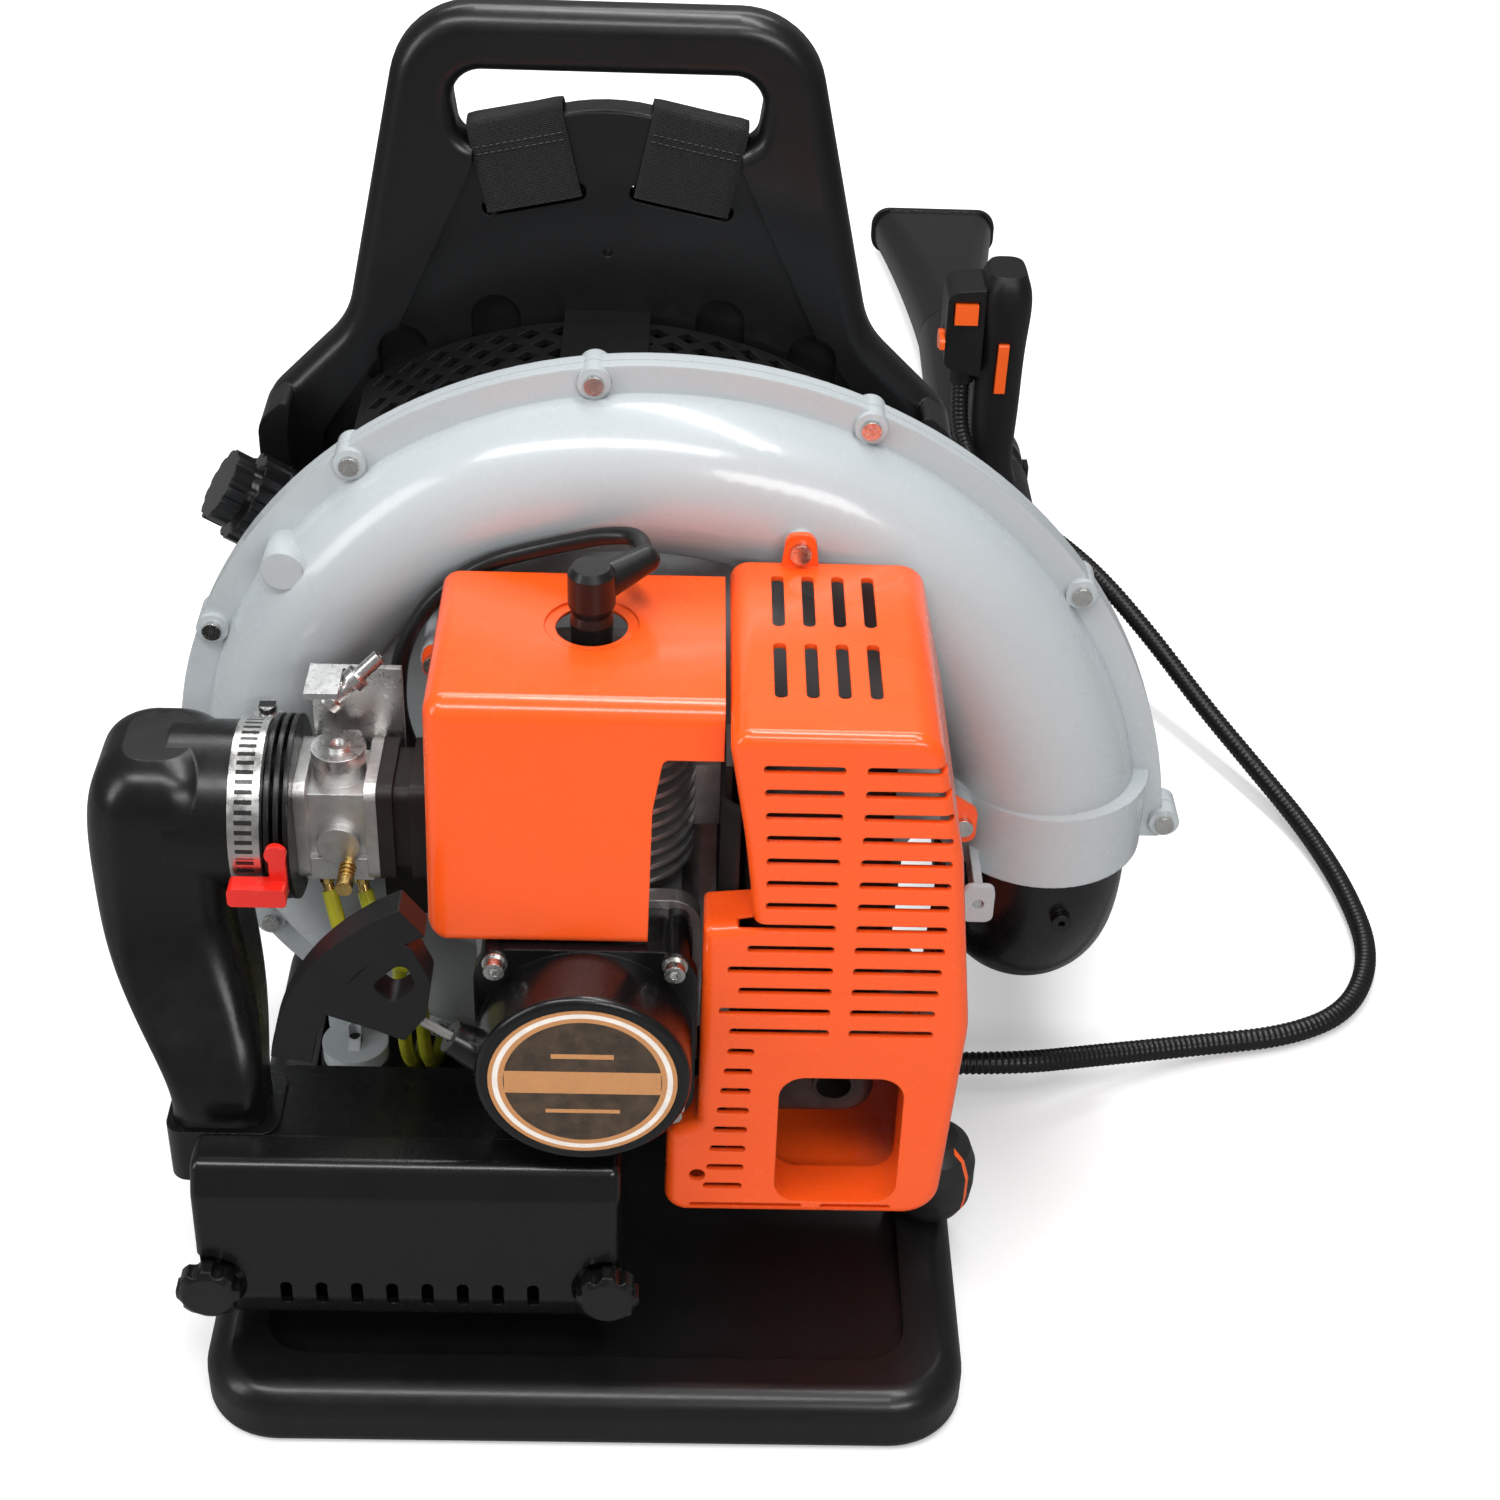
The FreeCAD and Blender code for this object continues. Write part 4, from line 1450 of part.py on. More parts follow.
def blower_tube():
    """Middle tube with end rings, nozzle tube with bayonet ring and the flat flared nozzle."""
    r, t = TUBE_R, TUBE_WALL
    ring_r, spigot_r = r + RING_T, HOSE_BORE_R - FIT
    tube = along([(r - t, -20), (spigot_r, -20), (spigot_r, FIT), (spigot_r + 3, FIT),
                  (spigot_r + 3, 6), (r, 12), (r, TUBE_L - 14), (ring_r, TUBE_L - 10),
                  (ring_r, TUBE_L - 2), (r - 1.4, TUBE_L), (r - t - 1, TUBE_L), (r - t, TUBE_L - 20)])
    add("blower_tube", tube_place(tube))
    start = TUBE_L + 1
    nr = r - 1
    pipe_part = along([(nr - t, start), (ring_r, start), (ring_r, start + 9), (nr, start + 14),
                       (nr - 3, start + NOZZLE_L), (nr - 3 - t, start + NOZZLE_L)])
    lugs = []
    for side in (-1, 1):
        inner, outer = side * (ring_r + FIT), side * (ring_r + 3.5)
        lugs.append(box(min(inner, outer), max(inner, outer), start - 9, start + 3, -5, 5))
        inner = side * (ring_r - 1)
        lugs.append(box(min(inner, outer), max(inner, outer), start, start + 3, -5, 5))
    neck_at = start + NOZZLE_L
    tip_at = neck_at + FLARE_L

    def flare(inset):
        rings = []
        for f in (0.0, 0.28, 0.62, 1.0):
            half_w = (nr - 3) + (FLARE_W / 2 - nr + 3) * f ** 1.3 - inset
            half_h = (nr - 3) + (FLARE_H / 2 - nr + 3) * f - inset
            y = neck_at + FLARE_L * f
            corner = min(half_w, half_h) * (0.98 if f < 1 else 0.8)
            wire = outline(rect(-half_w, half_w, -half_h, half_h, corner), "XZ", 0)
            wire.translate(V(0, y, 0))
            rings.append(wire)
        return Part.makeLoft(rings, True, False)

    lip = prism(rect(-FLARE_W / 2 - FLARE_LIP, FLARE_W / 2 + FLARE_LIP, -LIP_HALF, LIP_HALF, 15),
                "XZ", tip_at - 5, 5)
    mouth = prism(rect(-FLARE_W / 2 + 2.2, FLARE_W / 2 - 2.2, -FLARE_H / 2 + 2.2, FLARE_H / 2 - 2.2, 12),
                  "XZ", tip_at - 8, 10)
    nozzle = fuse([pipe_part] + lugs + [flare(0), lip]).cut(flare(t)).cut(mouth)
    add("nozzle", tube_place(nozzle))


def control_grip():
    """Pistol grip on the tube: saddle clamp, handle, switch pod, trigger, levers and lock-out bar."""
    foot = TUBE_R + FIT
    y0 = GRIP_AT
    saddle = ring(V(0, y0 - 24, 0), Y_AXIS, foot + 3, foot, 48)
    sections = []
    for z, y, half_w, half_d, r in ((foot - 6, y0, 20, 24, 10), (foot + 12, y0, 15, 20, 11),
                                    (foot + 55, y0 - 2, 15.5, 19, 12), (foot + 100, y0 - 5, 16, 21, 13),
                                    (foot + 134, y0 - 8, 16, 24, 13), (foot + 149, y0 - 10, 11, 18, 9)):
        sections.append(outline(rect(-half_w, half_w, y - half_d, y + half_d, r), "XY", z))
    handle = Part.makeLoft(sections, True, False)
    handle = handle.cut(cyl(V(0, y0 - 60, 0), Y_AXIS, foot, 120))
    pod = prism([(-38, foot + 86, 8), (-14, foot + 80), (-14, foot + 140), (-38, foot + 138, 8)],
                "XZ", y0 - 28, 36)
    gland = cyl(V(-24, y0 - 10, foot + 70), Z_AXIS, CONDUIT_R + 2.5, 14)
    body = fuse([saddle, handle, pod, gland])
    trigger_room = prism([(y0 + 6, foot + 56, 3), (y0 + 40, foot + 56), (y0 + 40, foot + 126),
                          (y0 + 8, foot + 126, 3)], "YZ", -6.5, 13)
    lever_room = box(-45, -30, y0 - 22, y0 - 8, foot + 94, foot + 108)
    stop_room = box(-34, -18, y0 - 30, y0 - 19, foot + 116, foot + 132)
    lock_room = box(-4, 4, y0 - 40, y0 - 15, foot + 66, foot + 104)
    conduit_room = cyl(V(-24, y0 - 10, foot + 69), Z_AXIS, CONDUIT_R + FIT / 2, 11)
    pin = V(-5.9, y0 + 14, foot + 119)
    trigger_pin = cyl(pin - X_AXIS, X_AXIS, 2.0, 13.8)
    add("control_grip", tube_place(cut(body, [trigger_room, lever_room, stop_room, lock_room,
                                              conduit_room]).fuse(trigger_pin)))
    trigger = prism([(y0 + 9, foot + 123, 3), (y0 + 20, foot + 123, 3), (y0 + 27, foot + 108, 8),
                     (y0 + 26, foot + 84, 14), (y0 + 32, foot + 60, 3), (y0 + 25, foot + 60, 3),
                     (y0 + 17, foot + 86, 14), (y0 + 12, foot + 106, 6)], "YZ", -5.9, 11.8)
    add("trigger", tube_place(trigger.cut(cyl(pin - X_AXIS, X_AXIS, 2.0 + RUN, 14))))
    cruise = fuse([cyl(V(-41.5, y0 - 15, foot + 101), X_AXIS, 6.4, 11),
                   prism([(y0 - 18, foot + 98, 2), (y0 - 30, foot + 99, 2), (y0 - 30, foot + 106, 2),
                          (y0 - 14, foot + 107, 2)], "YZ", -41.5, 3.2)])
    add("cruise_lever", tube_place(cruise))
    stop = box(-33.4, -18.6, y0 - 31, y0 - 21, foot + 117.4, foot + 130.6)
    add("stop_switch", tube_place(stop))
    lock = prism([(y0 - 25.5, foot + 67, 1.5), (y0 - 20, foot + 67), (y0 - 20, foot + 103),
                  (y0 - 29, foot + 103, 1.5)], "YZ", -3.4, 6.8)
    add("lock_out_bar", tube_place(lock))


def control_conduit():
    """Corrugated conduit from its clip on the base's rim, over the floor and up to the grip."""
    gland, below = [tube_place(Part.Vertex(V(-24, GRIP_AT - 10, TUBE_R + FIT + h))).Point
                    for h in (70, 43)]
    points = [V(CLIP_X, CLIP_Y, CLIP_Z), V(CLIP_X + 32, CLIP_Y, CLIP_Z), V(252, 72, 19),
              V(308, 92, 9), V(361, 103, 7), V(397, 125, 7), V(417, 170, 7), V(415, 224, 7),
              V(402, 278, 10), V(378, 326, 20), V(352, 369, 34), V(325, 411, 54), V(295, 452, 73),
              V(268, 490, 79), V(245, 528, 75), V(233, 561, 75), V(221, 581, 87), below, gland]
    solid, wire, radii, share = pipe(points, CONDUIT_R)
    print("conduit: length %.0f, radii %s, volume share %.4f" % (wire.Length, radii, share))
    add("control_conduit", solid)


def export():
    os.makedirs("parts", exist_ok=True)
    for name, shape in NODES.items():
        shape.exportStep(os.path.join("parts", name + ".step"))


for build in (backpack_frame, harness, fan_housing, vibration_mounts, fan, intake_guard, fuel_tank,
              fuel_cap, crankcase, cylinder, rotor, starter, starter_grip, plug_and_coil, muffler,
              cylinder_cover, muffler_cover, heat_baffle, fasteners, carburettor_line, fuel_hoses,
              intake, filter_box, elbow, hose, blower_tube, control_grip, control_conduit):
    build()
export()
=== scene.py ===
import math

import bpy
from mathutils import Matrix, Vector, noise


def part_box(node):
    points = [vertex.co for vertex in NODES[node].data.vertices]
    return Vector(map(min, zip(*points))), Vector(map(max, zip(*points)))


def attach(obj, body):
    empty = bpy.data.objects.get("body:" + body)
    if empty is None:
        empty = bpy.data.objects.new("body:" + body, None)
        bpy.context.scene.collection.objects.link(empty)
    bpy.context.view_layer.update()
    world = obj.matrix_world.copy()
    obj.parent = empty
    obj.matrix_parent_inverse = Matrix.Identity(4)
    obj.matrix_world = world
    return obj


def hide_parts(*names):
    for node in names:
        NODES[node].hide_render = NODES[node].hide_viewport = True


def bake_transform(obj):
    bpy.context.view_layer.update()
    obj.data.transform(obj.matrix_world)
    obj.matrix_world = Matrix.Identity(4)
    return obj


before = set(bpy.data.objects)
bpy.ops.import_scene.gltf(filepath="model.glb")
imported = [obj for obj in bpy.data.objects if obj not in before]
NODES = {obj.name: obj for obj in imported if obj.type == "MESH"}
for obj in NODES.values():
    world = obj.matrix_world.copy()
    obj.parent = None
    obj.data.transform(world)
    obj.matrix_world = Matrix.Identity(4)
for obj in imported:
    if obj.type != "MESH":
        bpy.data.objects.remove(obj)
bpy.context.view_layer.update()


def mm(x, y, z):
    return Vector((x, y, z)) * 0.001


# ---------------------------------------------------------------- camera
def make_camera():
    """Camera at the photograph's place: above the engine side, looking down at the machine."""
    yaw, pitch, roll = 0.032591, 0.62270, 0.039260
    look = Vector((math.sin(yaw) * math.cos(pitch), math.cos(yaw) * math.cos(pitch), -math.sin(pitch)))
    level = Vector((math.cos(yaw), -math.sin(yaw), 0))
    rise = level.cross(look)
    right = math.cos(roll) * level + math.sin(roll) * rise
    up = math.cos(roll) * rise - math.sin(roll) * level
    data = bpy.data.cameras.new("camera")
    data.lens, data.sensor_width = 59.9, 36
    data.clip_start, data.clip_end = 0.05, 60
    cam = bpy.data.objects.new("camera", data)
    turn = Matrix((right, up, -look)).transposed().to_4x4()
    cam.matrix_world = Matrix.Translation(mm(37.8, -873.7, 886.7)) @ turn
    bpy.context.scene.collection.objects.link(cam)
    bpy.context.scene.camera = cam


# ---------------------------------------------------------------- material nodes
class Nodes:
    """Short calls for building one material's node tree."""

    def __init__(self, name):
        self.mat = bpy.data.materials.new(name)
        self.mat.use_nodes = True
        self.tree = self.mat.node_tree
        self.tree.nodes.clear()
        self.out = self.tree.nodes.new("ShaderNodeOutputMaterial")
        self.bsdf = self.tree.nodes.new("ShaderNodeBsdfPrincipled")
        self.link(self.bsdf.outputs[0], self.out.inputs[0])
        self.place = self.tree.nodes.new("ShaderNodeTexCoord").outputs["Object"]

    def link(self, a, b):
        self.tree.links.new(a, b)

    def put(self, socket, value):
        if hasattr(value, "links"):
            self.link(value, socket)
        elif value is not None:
            socket.default_value = value

    def noise(self, scale, detail=3.0, rough=0.55, at=None):
        n = self.tree.nodes.new("ShaderNodeTexNoise")
        self.put(n.inputs["Vector"], self.place if at is None else at)
        n.inputs["Scale"].default_value = scale
        n.inputs["Detail"].default_value = detail
        n.inputs["Roughness"].default_value = rough
        return n.outputs["Fac"]

    def cells(self, scale, feature="F1", at=None):
        n = self.tree.nodes.new("ShaderNodeTexVoronoi")
        n.feature = feature
        self.put(n.inputs["Vector"], self.place if at is None else at)
        n.inputs["Scale"].default_value = scale
        return n.outputs["Distance"]

    def math(self, kind, a, b=0.0, c=0.0):
        n = self.tree.nodes.new("ShaderNodeMath")
        n.operation = kind
        for socket, value in zip(n.inputs, (a, b, c)):
            self.put(socket, value)
        return n.outputs[0]

    def span(self, value, low, high, to_low, to_high):
        n = self.tree.nodes.new("ShaderNodeMapRange")
        for socket, v in zip(n.inputs[:5], (value, low, high, to_low, to_high)):
            self.put(socket, v)
        return n.outputs[0]

    def mix(self, share, a, b):
        n = self.tree.nodes.new("ShaderNodeMix")
        n.data_type = "RGBA"
        self.put(n.inputs[0], share)
        self.put(n.inputs[6], a)
        self.put(n.inputs[7], b)
        return n.outputs[2]

    def axes(self, at=None):
        n = self.tree.nodes.new("ShaderNodeSeparateXYZ")
        self.put(n.inputs[0], self.place if at is None else at)
        return n.outputs

    def moved(self, shift, turn=(0, 0, 0), scale=(1, 1, 1)):
        n = self.tree.nodes.new("ShaderNodeMapping")
        self.link(self.place, n.inputs["Vector"])
        n.inputs["Location"].default_value = shift
        n.inputs["Rotation"].default_value = turn
        n.inputs["Scale"].default_value = scale
        return n.outputs[0]

    def bump(self, height, depth, strength=1.0, normal=None):
        n = self.tree.nodes.new("ShaderNodeBump")
        n.inputs["Distance"].default_value = depth
        n.inputs["Strength"].default_value = strength
        self.link(height, n.inputs["Height"])
        if normal is not None:
            self.link(normal, n.inputs["Normal"])
        return n.outputs[0]

    def rounded(self, radius):
        n = self.tree.nodes.new("ShaderNodeBevel")
        n.samples = 4
        n.inputs["Radius"].default_value = radius
        return n.outputs[0]

    def uv(self):
        return self.tree.nodes.new("ShaderNodeTexCoord").outputs["UV"]


def rgba(c, k=1.0):
    return (min(1, c[0] * k), min(1, c[1] * k), min(1, c[2] * k), 1)


def finish_of(name, colour, rough, metallic=0.0, coat=0.0, coat_rough=0.08, mottle=0.12, mottle_scale=22,
              grain=0.00004, grain_scale=900, spread=0.09, edge=0.0007, specular=0.32, scratch=0.0):
    """A moulded, painted or metal surface: blotchy colour, uneven gloss, fine grain, broken edges."""
    n = Nodes(name)
    b = n.bsdf.inputs
    b["Metallic"].default_value = metallic
    b["Coat Weight"].default_value = coat
    b["Coat Roughness"].default_value = coat_rough
    b["Specular IOR Level"].default_value = specular
    share = n.span(n.noise(mottle_scale, 4.0), 0.3, 0.7, 0.0, 1.0)
    tone = n.mix(share, rgba(colour, 1 - mottle), rgba(colour, 1 + mottle))
    gloss = n.span(n.noise(mottle_scale * 3.1, 5.0, 0.65), 0.25, 0.75, rough - spread, rough + spread)
    normal = n.rounded(edge)
    if scratch:
        lines = n.noise(420, 2.0, at=n.moved((0, 0, 0), (0.3, 0.5, 0.9), (1, 0.04, 1)))
        marks = n.span(lines, 0.62, 0.70, 0.0, 1.0)
        gloss = n.math("ADD", gloss, n.math("MULTIPLY", marks, scratch))
        normal = n.bump(marks, 0.00002, 0.5, normal)
    n.put(b["Base Color"], tone)
    n.put(b["Roughness"], gloss)
    n.put(b["Normal"], n.bump(n.noise(grain_scale, 2.0), grain, 0.8, normal))
    return n.mat


DISC_Z = 0.195


def label_material():
    """Printed disc with rings and bands only: dark field, white and tan rings, one tan band."""
    n = Nodes("printed_disc")
    x, _, z = n.axes()
    z = n.math("SUBTRACT", z, DISC_Z)
    r = n.math("SQRT", n.math("ADD", n.math("MULTIPLY", x, x), n.math("MULTIPLY", z, z)))
    dark, tan, white = (0.035, 0.022, 0.012, 1), (0.55, 0.245, 0.085, 1), (0.85, 0.80, 0.74, 1)

    def inside(value, low, high):
        return n.math("MULTIPLY", n.math("GREATER_THAN", value, low), n.math("LESS_THAN", value, high))

    tone = dark
    for low, high, ink in ((0.0318, 0.0340, tan), (0.0340, 0.0362, white), (0.0362, 0.0400, tan)):
        tone = n.mix(inside(r, low, high), tone, ink)
    bands = ((-0.0062, 0.0056, 0.0314), (0.0125, 0.0150, 0.0125), (-0.0168, -0.0148, 0.0150))
    for low, high, half in bands:
        band = n.math("MULTIPLY", inside(z, low, high), inside(x, -half, half))
        tone = n.mix(band, tone, tan)
    worn = n.span(n.noise(160, 4.0), 0.35, 0.8, 0.0, 0.22)
    tone = n.mix(worn, tone, (0.30, 0.16, 0.08, 1))
    n.put(n.bsdf.inputs["Base Color"], tone)
    n.put(n.bsdf.inputs["Roughness"], n.span(n.noise(90), 0.3, 0.7, 0.22, 0.36))
    n.bsdf.inputs["Coat Weight"].default_value = 0.4
    n.bsdf.inputs["Coat Roughness"].default_value = 0.12
    return n.mat


def clamp_material(centre, along_x, pitch, radius):
    """Stainless band with the row of worm slots punched along it."""
    n = Nodes("slotted_band_x" if along_x else "slotted_band_y")
    x, y, z = n.axes()
    flat = n.math("SUBTRACT", y if along_x else x, centre[1] if along_x else centre[0])
    high = n.math("SUBTRACT", z, centre[2])
    turn = n.math("MULTIPLY", n.math("ARCTAN2", high, flat), radius / pitch)
    across = n.math("ABSOLUTE", n.math("SUBTRACT", x if along_x else y, centre[0] if along_x else centre[1]))
    slot = n.math("MULTIPLY", n.math("GREATER_THAN", n.math("FRACT", turn), 0.55),
                  n.math("LESS_THAN", across, 0.0036))
    tone = n.mix(slot, n.mix(n.noise(60, 4.0), (0.60, 0.59, 0.57, 1), (0.80, 0.79, 0.77, 1)),
                 (0.015, 0.015, 0.015, 1))
    n.put(n.bsdf.inputs["Base Color"], tone)
    n.put(n.bsdf.inputs["Metallic"], n.math("SUBTRACT", 1.0, slot))
    n.put(n.bsdf.inputs["Roughness"], n.span(n.noise(240, 4.0), 0.3, 0.7, 0.20, 0.36))
    n.put(n.bsdf.inputs["Normal"], n.bump(n.math("SUBTRACT", 1.0, slot), 0.0005, 1.0, n.rounded(0.0004)))
    return n.mat


def webbing_material():
    """Nylon webbing: ribs across the strap, fine yarns along it, from the piece's own u and v; the low parts
    of the weave are painted darker as shade.
    """
    n = Nodes("nylon_webbing")
    u, v, _ = n.axes(n.uv())
    ribs = n.math("SINE", n.math("MULTIPLY", v, 2 * math.pi / 0.0016))
    yarn = n.math("SINE", n.math("ADD", n.math("MULTIPLY", u, 2 * math.pi / 0.0013),
                                 n.math("MULTIPLY", n.math("SIGN", ribs), math.pi / 2)))
    weave = n.math("ADD", n.math("MULTIPLY", n.math("ABSOLUTE", ribs), 0.7), n.math("MULTIPLY", yarn, 0.3))
    # painted shade: darker where the weave is low, lighter on the raised ribs
    tone = n.mix(n.span(weave, -0.3, 1.0, 0.0, 1.0), (0.002, 0.002, 0.002, 1), (0.014, 0.014, 0.016, 1))
    n.put(n.bsdf.inputs["Base Color"], n.mix(n.noise(300, 3.0), tone, (0.006, 0.006, 0.007, 1)))
    n.put(n.bsdf.inputs["Roughness"], n.span(weave, -0.3, 1.0, 0.75, 0.5))
    n.bsdf.inputs["Specular IOR Level"].default_value = 0.3
    n.bsdf.inputs["Sheen Weight"].default_value = 0.06
    n.put(n.bsdf.inputs["Normal"], n.bump(weave, 0.0005, 0.9))
    return n.mat


def mesh_cloth_material():
    """Black spacer fabric of the pads: small round cells with soft yarn between them, the cell hollows
    painted darker as shade.
    """
    n = Nodes("spacer_fabric")
    cell = n.cells(330, "F1")
    yarn = n.noise(1500, 2.0)
    height = n.math("ADD", n.span(cell, 0.1, 0.5, 0.0, 1.0), n.math("MULTIPLY", yarn, 0.3))
    # painted shade: the colour is darkest at the cell centres, where the surface is lowest
    tone = n.mix(n.span(cell, 0.15, 0.45, 0.0, 1.0), (0.003, 0.003, 0.003, 1), (0.020, 0.020, 0.022, 1))
    n.put(n.bsdf.inputs["Base Color"], n.mix(n.span(n.noise(24, 4.0), 0.35, 0.7, 0.0, 0.5), tone,
                                             (0.013, 0.013, 0.014, 1)))
    n.bsdf.inputs["Roughness"].default_value = 0.88
    n.bsdf.inputs["Sheen Weight"].default_value = 0.12
    n.put(n.bsdf.inputs["Normal"], n.bump(height, 0.0006, 0.8))
    return n.mat


BRAID_TURNS = 420           # turns of a rope's yarns per metre


def braid_material():
    """Rope of light yarns twisted about its own length through u and v, with painted shade darkening the
    grooves between the strands.
    """
    n = Nodes("braided_rope")
    u, v, _ = n.axes(n.uv())
    lay = n.math("MULTIPLY", v, BRAID_TURNS)
    strands = 2 * math.pi * 3
    left = n.math("SINE", n.math("MULTIPLY", n.math("ADD", u, lay), strands))
    right = n.math("SINE", n.math("MULTIPLY", n.math("SUBTRACT", u, lay), strands))
    braid = n.math("MAXIMUM", left, right)
    # painted shade: the colour goes dark where the braid height is low, in the grooves between the strands
    n.put(n.bsdf.inputs["Base Color"], n.mix(n.span(braid, 0.0, 1.0, 0.0, 1.0), (0.10, 0.10, 0.10, 1),
                                             (0.46, 0.46, 0.44, 1)))
    n.bsdf.inputs["Roughness"].default_value = 0.8
    n.put(n.bsdf.inputs["Normal"], n.bump(braid, 0.0003, 1.0))
    return n.mat


def fuel_hose_material():
    """Clear yellow-green fuel line with fuel showing through as darker stretches."""
    n = Nodes("fuel_line")
    share = n.span(n.noise(28, 2.0), 0.42, 0.58, 0.0, 1.0)
    n.put(n.bsdf.inputs["Base Color"], n.mix(share, (0.62, 0.60, 0.035, 1), (0.34, 0.38, 0.02, 1)))
    n.bsdf.inputs["Roughness"].default_value = 0.16
    n.bsdf.inputs["Transmission Weight"].default_value = 0.35
    n.bsdf.inputs["IOR"].default_value = 1.42
    n.bsdf.inputs["Coat Weight"].default_value = 0.5
    n.put(n.bsdf.inputs["Normal"], n.bump(n.noise(500), 0.0001, 0.5))
    return n.mat


def paper_material():
    """Pleated paper of the filter element, its pleat valleys painted darker as shade."""
    n = Nodes("pleated_paper")
    x, _, _ = n.axes()
    fold = n.math("ABSOLUTE", n.math("SUBTRACT", n.math("FRACT", n.math("MULTIPLY", x, 260)), 0.5))
    # painted shade: the paper is darker in the low part of each pleat, lighter on the crests
    n.put(n.bsdf.inputs["Base Color"], n.mix(fold, (0.55, 0.47, 0.24, 1), (0.80, 0.74, 0.50, 1)))
    n.bsdf.inputs["Roughness"].default_value = 0.9
    fibre = n.math("MULTIPLY", n.noise(1200), 0.1)
    n.put(n.bsdf.inputs["Normal"], n.bump(n.math("ADD", fold, fibre), 0.002, 1.0))
    return n.mat


def buffer_material():
    """Side buffer: black rubber with the thin orange stripe that crosses its crown."""
    n = Nodes("striped_rubber")
    x, y, _ = n.axes()
    centre_x, centre_y = 0.163, -0.047
    half_width, start_x = 0.0011, 0.166
    across = n.math("ADD", n.math("MULTIPLY", n.math("SUBTRACT", x, centre_x), 0.55),
                    n.math("MULTIPLY", n.math("SUBTRACT", y, centre_y), 0.835))
    stripe = n.math("LESS_THAN", n.math("ABSOLUTE", across), half_width)
    stripe = n.math("MULTIPLY", stripe, n.math("GREATER_THAN", x, start_x))
    base = n.mix(n.noise(120, 4.0), (0.010, 0.010, 0.010, 1), (0.020, 0.020, 0.021, 1))
    n.put(n.bsdf.inputs["Base Color"], n.mix(stripe, base, (0.85, 0.11, 0.012, 1)))
    n.put(n.bsdf.inputs["Roughness"], n.span(n.noise(200), 0.3, 0.7, 0.34, 0.50))
    n.put(n.bsdf.inputs["Normal"], n.bump(n.noise(900), 0.00005, 0.8, n.rounded(0.0008)))
    return n.mat


